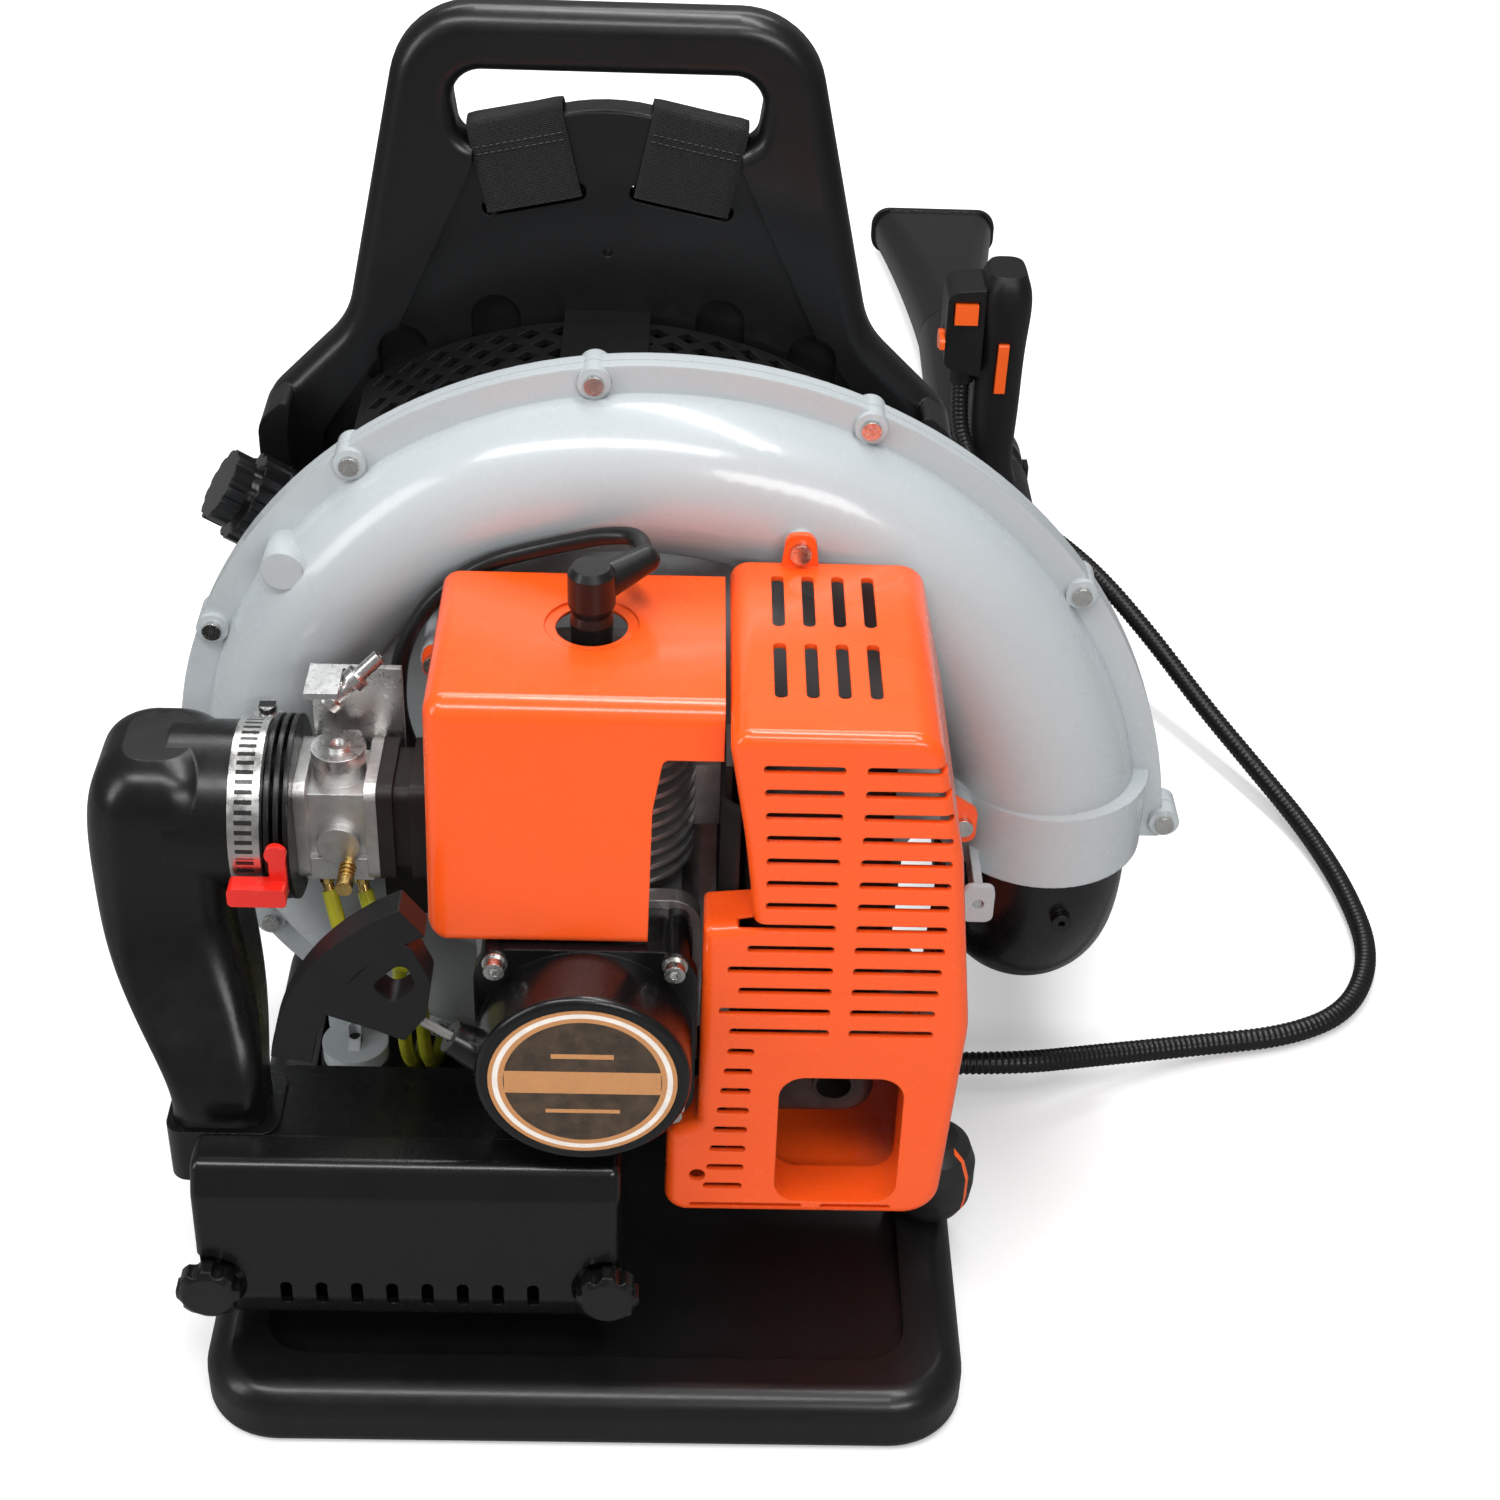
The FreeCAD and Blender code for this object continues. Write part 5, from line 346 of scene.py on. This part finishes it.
BLACK = (0.0045, 0.0045, 0.0050)
MATERIALS = {
    "frame_plastic": finish_of("frame_plastic", (0.0050, 0.0050, 0.0056), 0.34, coat=0.22, coat_rough=0.2,
                               grain=0.00007, grain_scale=1100, spread=0.07, edge=0.0012),
    "tank_plastic": finish_of("tank_plastic", (0.0045, 0.0045, 0.0050), 0.46, grain=0.0001, grain_scale=700),
    "box_plastic": finish_of("box_plastic", BLACK, 0.27, coat=0.3, coat_rough=0.16, grain=0.00003,
                             spread=0.035,
                             grain_scale=800, edge=0.0010),
    "gloss_plastic": finish_of("gloss_plastic", (0.0045, 0.0045, 0.0050), 0.20, coat=0.4, coat_rough=0.07,
                               grain=0.00002, grain_scale=500, spread=0.05, edge=0.0009),
    "grip_plastic": finish_of("grip_plastic", (0.0075, 0.0075, 0.0080), 0.42, grain=0.00012, grain_scale=1400,
                              edge=0.0012),
    "duct_rubber": finish_of("duct_rubber", (0.0045, 0.0045, 0.0045), 0.30, coat=0.15, coat_rough=0.25,
                             grain=0.00005, grain_scale=600, edge=0.0014),
    "dull_rubber": finish_of("dull_rubber", (0.010, 0.010, 0.010), 0.60, grain=0.0001, grain_scale=1300),
    "volute_paint": finish_of("volute_paint", (0.44, 0.475, 0.490), 0.27, coat=0.5, coat_rough=0.12,
                              mottle=0.025, mottle_scale=9, grain=0.00006, grain_scale=420, spread=0.06,
                              edge=0.0012),
    "orange_cover": finish_of("orange_cover", (0.92, 0.096, 0.010), 0.27, coat=0.45, coat_rough=0.10,
                              mottle=0.03, mottle_scale=8, grain=0.00005, grain_scale=300, spread=0.05,
                              edge=0.0010),
    "orange_part": finish_of("orange_part", (0.90, 0.115, 0.012), 0.34, coat=0.2, mottle=0.03, edge=0.0005),
    "red_part": finish_of("red_part", (0.72, 0.018, 0.010), 0.26, coat=0.5, mottle=0.04, edge=0.0004),
    "cast_alloy": finish_of("cast_alloy", (0.56, 0.56, 0.55), 0.42, metallic=0.9, mottle=0.18,
                            mottle_scale=70, grain=0.00022, grain_scale=620, spread=0.12, edge=0.0006),
    "machined_alloy": finish_of("machined_alloy", (0.66, 0.66, 0.65), 0.30, metallic=1.0, mottle=0.1,
                                mottle_scale=120, grain=0.00005, grain_scale=1600, scratch=0.15, edge=0.0004),
    "zinc_steel": finish_of("zinc_steel", (0.62, 0.62, 0.60), 0.26, metallic=1.0, mottle=0.16,
                            mottle_scale=160, grain=0.00004, grain_scale=1500, scratch=0.15, edge=0.0004),
    "heat_steel": finish_of("heat_steel", (0.055, 0.050, 0.047), 0.50, metallic=0.75, mottle=0.35,
                            mottle_scale=45, grain=0.0001, grain_scale=800, spread=0.14),
    # dark heat baffle: partly its own dark steel, partly painted shade standing in for the shadowy gap
    # between the fins and the orange cover
    "baffle_and_gap_shade": finish_of("baffle_and_gap_shade", (0.020, 0.019, 0.018), 0.55, metallic=0.3, mottle=0.2,
                              mottle_scale=30, grain=0.00008, grain_scale=700),
    "phenolic": finish_of("phenolic", (0.014, 0.012, 0.011), 0.50, mottle=0.25, grain=0.0001),
    "brass": finish_of("brass", (0.72, 0.50, 0.17), 0.26, metallic=1.0, mottle=0.12, mottle_scale=150,
                       scratch=0.1, edge=0.0003),
    "plug_plate": finish_of("plug_plate", (0.78, 0.77, 0.74), 0.18, metallic=1.0, mottle=0.08,
                            mottle_scale=200, edge=0.0004),
    "cable_jacket": finish_of("cable_jacket", (0.007, 0.007, 0.007), 0.36, coat=0.1, mottle=0.2,
                              mottle_scale=150, grain=0.00004, grain_scale=1500, edge=0.0003),
    "webbing": webbing_material(),
    "pad_cloth": mesh_cloth_material(),
    "binding": finish_of("binding", (0.010, 0.010, 0.011), 0.72, mottle=0.3, mottle_scale=400,
                         grain=0.0003, grain_scale=1400, edge=0.0004),
    "thread": finish_of("thread", (0.05, 0.05, 0.052), 0.65, mottle=0.2, mottle_scale=700, edge=0.0002),
    "rope": braid_material(),
    "fuel_line": fuel_hose_material(),
    "paper": paper_material(),
    "disc": label_material(),
    "buffer": buffer_material(),
    "band_x": clamp_material((-0.1405, -0.034, 0.250), True, 0.0042, 0.037),
    "band_y": clamp_material((0.204, 0.1165, 0.118), False, 0.0042, 0.040),
    "band_far": clamp_material((0.238, 0.384, 0.0413), False, 0.0042, 0.040),
}

NODE_LOOKS = {
    "frame_plastic": "backpack_frame",
    "tank_plastic": "fuel_tank intake_guard",
    "box_plastic": "air_filter_box air_filter_cover outlet_elbow nozzle blower_tube starter_housing "
                   "strap_fittings",
    "gloss_plastic": "cover_knob_left cover_knob_right fuel_cap",
    "grip_plastic": "control_grip trigger starter_grip starter_reel",
    "duct_rubber": "intake_duct intake_adaptor",
    "dull_rubber": "rubber_mounts",
    "volute_paint": "volute_front volute_rear",
    "orange_cover": "cylinder_cover muffler_cover",
    "orange_part": "cruise_lever stop_switch lock_out_bar",
    "red_part": "choke_lever",
    "cast_alloy": "crankcase cylinder carburettor_body fan_impeller flywheel",
    "machined_alloy": "crankshaft crank_bearings throttle_drum cable_bracket",
    "zinc_steel": "screws_and_bolts",
    "heat_steel": "muffler",
    "baffle_and_gap_shade": "heat_baffle",
    "phenolic": "insulator_block ignition_coil",
    "brass": "carburettor_fittings",
    "plug_plate": "spark_plug",
    "cable_jacket": "ignition_lead",
    "fuel_line": "fuel_hoses",
    "paper": "filter_element",
    "disc": "starter_label",
    "buffer": "side_buffer",
    "band_x": "intake_clamp",
    "band_y": "elbow_hose_clamp",
    "band_far": "tube_hose_clamp",
}


def dress_nodes():
    for look, names in NODE_LOOKS.items():
        for name in names.split():
            data = NODES[name].data
            data.materials.clear()
            data.materials.append(MATERIALS[look])


# ---------------------------------------------------------------- mesh helpers
def piece(name, points, faces, look, uvs=None):
    """New smooth-shaded mesh object; uvs gives one (u, v) per point."""
    mesh = bpy.data.meshes.new(name)
    mesh.from_pydata([tuple(p) for p in points], [], faces)
    if uvs:
        layer = mesh.uv_layers.new(name="UVMap")
        for loop in mesh.loops:
            layer.data[loop.index].uv = uvs[loop.vertex_index]
    mesh.polygons.foreach_set("use_smooth", [True] * len(mesh.polygons))
    mesh.materials.append(MATERIALS[look])
    obj = bpy.data.objects.new(name, mesh)
    bpy.context.scene.collection.objects.link(obj)
    return obj


def spline_line(controls, step):
    """Evenly spaced points read from a NURBS spline with these control points."""
    curve = bpy.data.curves.new("route", "CURVE")
    curve.dimensions = "3D"
    curve.resolution_u = 40
    spline = curve.splines.new("NURBS")
    spline.points.add(len(controls) - 1)
    for point, c in zip(spline.points, controls):
        point.co = (*c, 1)
    spline.order_u = 3
    spline.use_endpoint_u = True
    obj = bpy.data.objects.new("route", curve)
    bpy.context.scene.collection.objects.link(obj)
    mesh = bpy.data.meshes.new_from_object(obj)
    raw = [v.co.copy() for v in mesh.vertices]
    bpy.data.objects.remove(obj)
    total = sum((b - a).length for a, b in zip(raw, raw[1:]))
    count = max(2, round(total / step))
    line, walked, want = [raw[0]], 0.0, total / count
    for a, b in zip(raw, raw[1:]):
        span = (b - a).length
        while walked + span >= want - 1e-9 and len(line) < count:
            line.append(a.lerp(b, (want - walked) / span))
            want += total / count
        walked += span
    line.append(raw[-1])
    return line, total


def rings_along(line, radius, sides, twist=0.0):
    """Points of a round tube along a line; radius(i) gives each ring's radius."""
    ahead = [(line[min(i + 1, len(line) - 1)] - line[max(i - 1, 0)]).normalized() for i in range(len(line))]
    across = ahead[0].orthogonal().normalized()
    points = []
    for i, (p, t) in enumerate(zip(line, ahead)):
        across = (across - t * across.dot(t)).normalized()
        other = t.cross(across)
        for k in range(sides):
            a = 2 * math.pi * k / sides + twist * i
            points.append(p + (across * math.cos(a) + other * math.sin(a)) * radius(i))
    return points


def tube(name, line, radius, sides, look, capped=True):
    points = rings_along(line, radius, sides)
    faces = []
    for i in range(len(line) - 1):
        for k in range(sides):
            a, b = i * sides + k, i * sides + (k + 1) % sides
            faces.append((a, b, b + sides, a + sides))
    if capped:
        faces.append(tuple(reversed(range(sides))))
        faces.append(tuple(range(len(points) - sides, len(points))))
    step = (line[1] - line[0]).length
    uvs = [(k / sides, i * step) for i in range(len(line)) for k in range(sides)]
    return piece(name, points, faces, look, uvs)


def add_smooth(obj, levels=1):
    m = obj.modifiers.new("smooth", "SUBSURF")
    m.levels = m.render_levels = levels
    return obj


def ribbon(name, line, sides, width, thick, look, wave=0.0):
    """Flat strap along a line; sides gives the direction across it at each point."""
    cells = 12
    top, low, uvs = [], [], []
    walked = 0.0
    for i, (p, s) in enumerate(zip(line, sides)):
        t = (line[min(i + 1, len(line) - 1)] - line[max(i - 1, 0)]).normalized()
        up = s.cross(t).normalized()
        if i:
            walked += (p - line[i - 1]).length
        for k in range(cells + 1):
            u = k / cells - 0.5
            roll = 1 - 0.35 * max(0.0, abs(u) * 2 - 0.86) / 0.14
            lift = wave * noise.noise(Vector((u * 3, walked * 60, 3.1)))
            top.append(p + s * u * width + up * (thick / 2 * roll + lift))
            low.append(p + s * u * width + up * (lift - thick / 2 * roll))
            uvs.append((u * width, walked))
    n, c = len(line), cells + 1
    faces = []
    for i in range(n - 1):
        for k in range(cells):
            a = i * c + k
            faces.append((a, a + 1, a + 1 + c, a + c))
            faces.append((n * c + a, n * c + a + c, n * c + a + 1 + c, n * c + a + 1))
        for k, flip in ((0, False), (cells, True)):
            a = i * c + k
            quad = (a, a + c, n * c + a + c, n * c + a)
            faces.append(tuple(reversed(quad)) if flip else quad)
    for i, flip in ((0, True), (n - 1, False)):
        for k in range(cells):
            a = i * c + k
            quad = (a, a + 1, n * c + a + 1, n * c + a)
            faces.append(tuple(reversed(quad)) if not flip else quad)
    return piece(name, top + low, faces, look, uvs + uvs)


# ---------------------------------------------------------------- cord: control conduit
def control_conduit():
    """Corrugated conduit, from its clip on the base over the floor and up to the control grip."""
    route = [mm(172, 46, 36.15), mm(204, 46, 36.15), mm(252, 72, 19), mm(308, 92, 9), mm(361, 103, 7),
             mm(397, 125, 7), mm(417, 170, 7), mm(415, 224, 7), mm(402, 278, 10), mm(378, 326, 20),
             mm(352, 369, 34), mm(325, 411, 54), mm(295, 452, 73), mm(268, 490, 79), mm(245, 528, 75),
             mm(233, 561, 75), mm(221, 581, 87), mm(214, 592.1, 108.3), mm(214, 592.9, 135.3)]
    line, _ = spline_line(route, 0.0008)
    shape = (0.00575, 0.00575, 0.0053, 0.0050)
    cord = tube("conduit", line, lambda i: shape[i % 4], 20, "cable_jacket")
    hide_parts("control_conduit")
    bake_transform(cord)


# ---------------------------------------------------------------- hose
def bellows_hose():
    """One bellows hose in place of the two rigid halves."""
    route = [mm(204, 112.4, 118), mm(204, 186, 118), mm(238, 316, 43.32), mm(238, 387.6, 41.15)]
    line, total = spline_line(route, 0.0015)
    pitch, cuff, last = 0.0114, 0.011, len(line) - 1
    cuff_radius, valley_radius, fold_height = 0.0367, 0.0362, 0.0040

    def radius(i):
        s = total * i / last
        if min(s, total - s) < cuff:
            return cuff_radius
        fold = 0.5 - 0.5 * math.cos(2 * math.pi * (s - cuff) / pitch)
        return valley_radius + fold_height * min(1.0, 1.35 * fold) ** 0.8

    hose = tube("bellows_hose", line, radius, 64, "duct_rubber", capped=False)
    wall = hose.modifiers.new("wall", "SOLIDIFY")
    wall.thickness, wall.offset = 0.0014, -1
    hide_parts("hose_near_half", "hose_far_half")
    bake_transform(hose)


# ---------------------------------------------------------------- harness
PIVOT = mm(0, 0, 310)       # a shoulder pad leans about this point
PAD_APART = 64              # millimetres from the middle to each pad
PAD_STEPS = 70
PAD_SIDES = 28
PAD_HALF_W = 0.0265
PAD_HALF_T = 0.0056
STRAP_PIVOT = mm(0, 0, 446)
STRAP_APART = 32


def along_points(knots, count):
    """Smooth line through the knots, at even parameter steps (Catmull-Rom)."""
    ext = [knots[0] * 2 - knots[1]] + knots + [knots[-1] * 2 - knots[-2]]
    line = []
    for i in range(count + 1):
        t = i / count * (len(knots) - 1)
        k = min(int(t), len(knots) - 2)
        f = t - k
        a, b, c, d = ext[k:k + 4]
        line.append(0.5 * ((2 * b) + (c - a) * f + (2 * a - 5 * b + 4 * c - d) * f * f
                           + (3 * b - a - 3 * c + d) * f ** 3))
    return line


def stitches(name, spots, ahead, body, size=0.0016):
    """Row of raised thread stitches, one short bead per spot."""
    points, faces = [], []
    for p, t in zip(spots, ahead):
        side = t.orthogonal().normalized()
        other = t.cross(side)
        base = len(points)
        for s, r in ((-1, 0.25), (-0.5, 1), (0.5, 1), (1, 0.25)):
            for k in range(6):
                a = math.pi * k / 3
                points.append(p + t * s * size + (side * math.cos(a) + other * math.sin(a)) * r * 0.00032)
        for i in range(3):
            for k in range(6):
                a, b = base + i * 6 + k, base + i * 6 + (k + 1) % 6
                faces.append((a, b, b + 6, a + 6))
    obj = piece(name, points, faces, "thread")
    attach(obj, body)


def straps():
    """Shoulder webbing over the panel's edge, and the adjusting webbing down to the base hooks."""
    made = []
    for side, word in ((-1, "left"), (1, "right")):
        tilt = Matrix.Rotation(math.radians(side * 12), 4, "Y")
        centre = mm(side * STRAP_APART, 0, 446)

        def place(p):
            return tilt @ (p - STRAP_PIVOT) + centre

        front, rear, top = 144.5, 161.5, 484.1
        knots = [(front, 444.5), (front, 458), (front, 470), (front, top - 5), (front + 1.6, top - 1.2),
                 (front + 5, top), (rear - 5, top), (rear - 1.6, top - 1.2), (rear, top - 5), (rear, 466),
                 (rear, 445), (rear, 422.5)]
        line = [place(p) for p in along_points([mm(0, y, z) for y, z in knots], 90)]
        across = (tilt @ Vector((1, 0, 0))).normalized()
        made.append(ribbon("shoulder_webbing_" + word, line, [across] * len(line), 0.0418, 0.0022,
                           "webbing", wave=0.00025))
        bar = [place(mm(x, front - 1.4, z)) for z in (474.6, 471.4) for x in range(-18, 19, 3)]
        stitches("webbing_stitches_" + word, bar, [across] * len(bar), "machine", 0.0011)
        low, high = mm(side * 118, 169.5, 73.4), mm(side * 87, 197.4, 178.0)
        way = (high - low).normalized()
        flat = Vector((1, 0, 0))
        flat = (flat - way * flat.dot(way)).normalized()
        knots = [low, low.lerp(high, 0.33), low.lerp(high, 0.66), high]
        line = along_points(knots, 50)
        made.append(ribbon("adjuster_webbing_" + word, line, [flat] * len(line), 0.0278, 0.0020,
                           "webbing", wave=0.0002))
    for obj in made:
        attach(obj, "machine")
    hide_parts("strap_webbing")


def slab(name, sections, look):
    """Closed padded form from rings of points that all have the same count."""
    count = len(sections[0])
    points = [p for ring in sections for p in ring]
    faces = []
    for i in range(len(sections) - 1):
        for k in range(count):
            a, b = i * count + k, i * count + (k + 1) % count
            faces.append((a, b, b + count, a + count))
    faces.append(tuple(reversed(range(count))))
    faces.append(tuple(range(len(points) - count, len(points))))
    return piece(name, points, faces, look)


def remeshed(obj, size):
    m = obj.modifiers.new("remesh", "REMESH")
    m.mode, m.voxel_size = "VOXEL", size
    apply_all(obj)


def apply_all(obj):
    dg = bpy.context.evaluated_depsgraph_get()
    dg.update()
    mesh = bpy.data.meshes.new_from_object(obj.evaluated_get(dg), depsgraph=dg)
    obj.modifiers.clear()
    obj.data = mesh
    mesh.polygons.foreach_set("use_smooth", [True] * len(mesh.polygons))


def puffed(obj, pressure, cap, back_y, pinned):
    """Blow the pad up as cloth under pressure, then keep each point within cap of where it was."""
    rest = [v.co.copy() for v in obj.data.vertices]
    group = obj.vertex_groups.new(name="held")
    group.add([i for i, p in enumerate(rest) if pinned(p)], 1.0, "REPLACE")
    cloth = obj.modifiers.new("cloth", "CLOTH")
    s = cloth.settings
    s.quality = 5
    s.mass = 0.25
    s.tension_stiffness = s.compression_stiffness = 12
    s.shear_stiffness = 8
    s.bending_stiffness = 0.6
    s.use_pressure = True
    s.uniform_pressure_force = pressure
    s.effector_weights.gravity = 0
    s.vertex_group_mass = "held"
    scene = bpy.context.scene
    for i in range(1, 21):
        scene.frame_set(i)
    dg = bpy.context.evaluated_depsgraph_get()
    moved = [v.co.copy() for v in obj.evaluated_get(dg).data.vertices]
    obj.modifiers.clear()
    scene.frame_set(1)
    for vertex, a, b in zip(obj.data.vertices, rest, moved):
        step = b - a
        if step.length > cap:
            step *= cap / step.length
        vertex.co = a + step
        vertex.co.y = max(vertex.co.y, back_y)
    obj.vertex_groups.clear()


def shoulder_pads():
    """Two padded straps that hang from the slots to the lower buckles, bound along both long edges."""
    for side, word in ((-1, "left"), (1, "right")):
        lean = Matrix.Rotation(math.radians(-side * 9), 4, "Y")
        centre = mm(side * PAD_APART, 0, 310)

        def place(p):
            return lean @ (p - PIVOT) + centre

        knots = [mm(0, 172.0, 424.5), mm(0, 181, 412), mm(0, 193.5, 394), mm(0, 213, 350), mm(0, 219, 318),
                 mm(0, 216, 270), mm(0, 209, 232), mm(0, 197, 172)]
        line = along_points(knots, PAD_STEPS)
        sections = []
        for i, p in enumerate(line):
            t = (line[min(i + 1, PAD_STEPS)] - line[max(i - 1, 0)]).normalized()
            out = Vector((1, 0, 0)).cross(t).normalized()
            out = out if out.y > 0 else -out
            end = min(1.0, min(i, PAD_STEPS - i) / 5.0 + 0.35)
            half_w, half_t = PAD_HALF_W * (0.86 + 0.14 * end), PAD_HALF_T * end
            ring = []
            for k in range(PAD_SIDES):
                a = 2 * math.pi * k / PAD_SIDES
                c, s = math.cos(a), math.sin(a)
                x = half_w * math.copysign(abs(c) ** 0.55, c)
                y = half_t * math.copysign(abs(s) ** 0.8, s)
                ring.append(place(p + Vector((x, 0, 0)) + out * y))
            sections.append(ring)
        pad = slab("pad_" + word, sections, "pad_cloth")
        remeshed(pad, 0.0045)
        puffed(pad, 4.0, 0.0012, 0.1635, lambda p: p.z > 0.415 or p.z < 0.178)
        add_smooth(pad)
        apply_all(pad)
        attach(pad, "machine")
        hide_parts("shoulder_pad_" + word)
        for edge in (-1, 1):
            rim = [place(p + Vector((edge * 0.0268, 0, 0))) for p in line[2:-2]]
            bind = tube("pad_%s_binding_%s" % (word, "ab"[edge > 0]), rim, lambda i: 0.0021, 10, "binding")
            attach(bind, "machine")
        for x in (-0.009, 0.009):
            run = []
            for i in range(6, 66, 2):
                p = line[i]
                t = (line[i + 1] - line[i - 1]).normalized()
                out = Vector((1, 0, 0)).cross(t).normalized()
                out = out if out.y > 0 else -out
                run.append((place(p + Vector((x, 0, 0)) + out * 0.0064), (lean @ t).normalized()))
            stitches("pad_%s_seam_%s" % (word, "ab"[x > 0]), [r[0] for r in run], [r[1] for r in run],
                     "machine")


CUSHION_BACK_Y = 0.1608
CUSHION_T = 0.0215
CHANNEL_DEPTH = 0.0045
CHANNEL_HALF = 0.0045
STITCH_PITCH = 0.0052


def back_cushion():
    """Back pad on the wearer's side: crowned, bound at its edge, with three sewn channels."""
    outline = [(64, 112), (70, 182), (105, 212), (105, 352), (-105, 352), (-105, 212), (-70, 182), (-64, 112)]
    radii = [24, 30, 30, 30, 30, 30, 30, 24]
    ring = rounded_outline(outline, radii, 9)
    rows = 9
    sections = []
    for j in range(rows):
        f = j / (rows - 1)
        pull = 0.0045 * (2 * f - 1) ** 4 + 0.002
        y = CUSHION_BACK_Y + CUSHION_T * f
        centre = Vector((0, y, 0.240))
        sections.append([Vector((p[0], y, p[1])) + (centre - Vector((p[0], y, p[1]))).normalized() * pull
                         for p in ring])
    pad = slab("back_pad", sections, "pad_cloth")
    remeshed(pad, 0.005)
    puffed(pad, 4.0, 0.0035, 0.1605, lambda p: p.y < 0.163)
    channels = (0.185, 0.247, 0.309)
    for v in pad.data.vertices:
        if v.co.y > 0.170:
            v.co.y -= sum(CHANNEL_DEPTH * math.exp(-((v.co.z - z) / CHANNEL_HALF) ** 2) for z in channels)
            v.co.y += 0.0004 * noise.noise(v.co * 60)
    add_smooth(pad)
    apply_all(pad)
    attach(pad, "machine")
    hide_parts("back_cushion")
    rim = [Vector((p[0] * 0.985, 0.1705, 0.240 + (p[1] - 0.240) * 0.985)) for p in ring]
    bind = tube("back_pad_binding", rim + rim[:1], lambda i: 0.0022, 10, "binding", capped=False)
    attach(bind, "machine")
    for k, z in enumerate(channels):
        half = 0.060 if z < 0.2 else 0.092
        count = int(half * 2 / STITCH_PITCH)
        spots = [Vector((-half + STITCH_PITCH * i, 0.1782, z)) for i in range(count + 1)]
        stitches("back_pad_seam_%d" % k, spots, [Vector((1, 0, 0))] * len(spots), "machine")


def rounded_outline(corners, radii, steps):
    """Closed outline in metres from corners in millimetres, each corner turned through an arc."""
    points = []
    n = len(corners)
    for i in range(n):
        p = Vector(corners[i])
        a = (Vector(corners[i - 1]) - p).normalized()
        b = (Vector(corners[(i + 1) % n]) - p).normalized()
        reach = min(radii[i], 0.45 * (Vector(corners[i - 1]) - p).length,
                    0.45 * (Vector(corners[(i + 1) % n]) - p).length)
        start, end = p + a * reach, p + b * reach
        for k in range(steps + 1):
            t = k / steps
            points.append((start * (1 - t) ** 2 + p * 2 * t * (1 - t) + end * t * t) * 0.001)
    return points


# ---------------------------------------------------------------- starter rope
ROPE_Y = -0.127
ROPE_R = 0.00185
ROPE_STEPS = 120


def starter_rope():
    """Braided starter rope; it draws out between the housing and the pull grip."""
    low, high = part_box("starter_rope")
    foot = Vector((high.x - 0.001, ROPE_Y, low.z + 0.0015))
    tip = Vector((low.x + 0.001, ROPE_Y, high.z - 0.0015))
    line = [foot.lerp(tip, i / ROPE_STEPS) for i in range(ROPE_STEPS + 1)]
    rope = tube("pull_rope", line, lambda i: ROPE_R, 12, "rope")
    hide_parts("starter_rope")
    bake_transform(rope)


# ---------------------------------------------------------------- studio
def lamp(name, at, aim, wide, tall, watts):
    data = bpy.data.lights.new(name, "AREA")
    data.shape, data.size, data.size_y = "RECTANGLE", wide, tall
    data.energy = watts
    obj = bpy.data.objects.new(name, data)
    obj.location = at
    obj.rotation_mode = "QUATERNION"
    obj.rotation_quaternion = (Vector(aim) - Vector(at)).to_track_quat("-Z", "Y")
    bpy.context.scene.collection.objects.link(obj)


def studio():
    """White seamless floor, even soft light from above and long ceiling panels."""
    mesh = bpy.data.meshes.new("floor")
    mesh.from_pydata([(-6, -6, 0), (6, -6, 0), (6, 6, 0), (-6, 6, 0)], [], [(0, 1, 2, 3)])
    floor = bpy.data.objects.new("floor", mesh)
    bpy.context.scene.collection.objects.link(floor)
    n = Nodes("studio_floor")
    path = n.tree.nodes.new("ShaderNodeLightPath")
    speck = n.span(n.noise(260, 2.0), 0.62, 0.72, 0.0, 0.10)
    tone = n.mix(speck, (0.84, 0.84, 0.84, 1), (0.45, 0.45, 0.45, 1))
    n.put(n.bsdf.inputs["Base Color"], n.mix(path.outputs["Is Glossy Ray"], tone, (0.22, 0.22, 0.22, 1)))
    n.bsdf.inputs["Roughness"].default_value = 0.5
    n.bsdf.inputs["Emission Color"].default_value = (1, 1, 1, 1)
    x, y, _ = n.axes()
    away = n.math("SQRT", n.math("ADD", n.math("MULTIPLY", x, x), n.math("MULTIPLY", y, y)))
    lift = n.span(away, 0.5, 1.9, 0.30, 0.95)
    n.put(n.bsdf.inputs["Emission Strength"], n.math("MULTIPLY", path.outputs["Is Camera Ray"], lift))
    mesh.materials.append(n.mat)
    world = bpy.data.worlds.new("world")
    world.use_nodes = True
    bpy.context.scene.world = world
    tree = world.node_tree
    back = tree.nodes["Background"]
    path = tree.nodes.new("ShaderNodeLightPath")
    seen = tree.nodes.new("ShaderNodeMapRange")
    tree.links.new(path.outputs["Is Camera Ray"], seen.inputs[0])
    seen.inputs[3].default_value, seen.inputs[4].default_value = 0.20, 1.0
    tree.links.new(seen.outputs[0], back.inputs["Strength"])
    back.inputs["Color"].default_value = (1, 1, 1, 1)
    lamp("ceiling_front", (-0.35, -0.85, 1.8), (0, 0, 0.2), 1.6, 0.30, 19)
    lamp("ceiling_middle", (0.25, 0.15, 2.0), (0, 0, 0.2), 1.8, 0.22, 22)
    lamp("ceiling_back", (0.0, 1.3, 1.9), (0, 0.2, 0.2), 1.8, 0.3, 14)
    lamp("fill_left", (-1.8, -0.9, 1.1), (0, 0, 0.2), 0.5, 1.3, 12)
    lamp("fill_front", (0.9, -2.2, 1.5), (0, 0, 0.2), 1.2, 0.5, 20)


bpy.context.scene.view_settings.view_transform = "Standard"
make_camera()
control_conduit()
dress_nodes()
bellows_hose()
straps()
shoulder_pads()
back_cushion()
starter_rope()
studio()
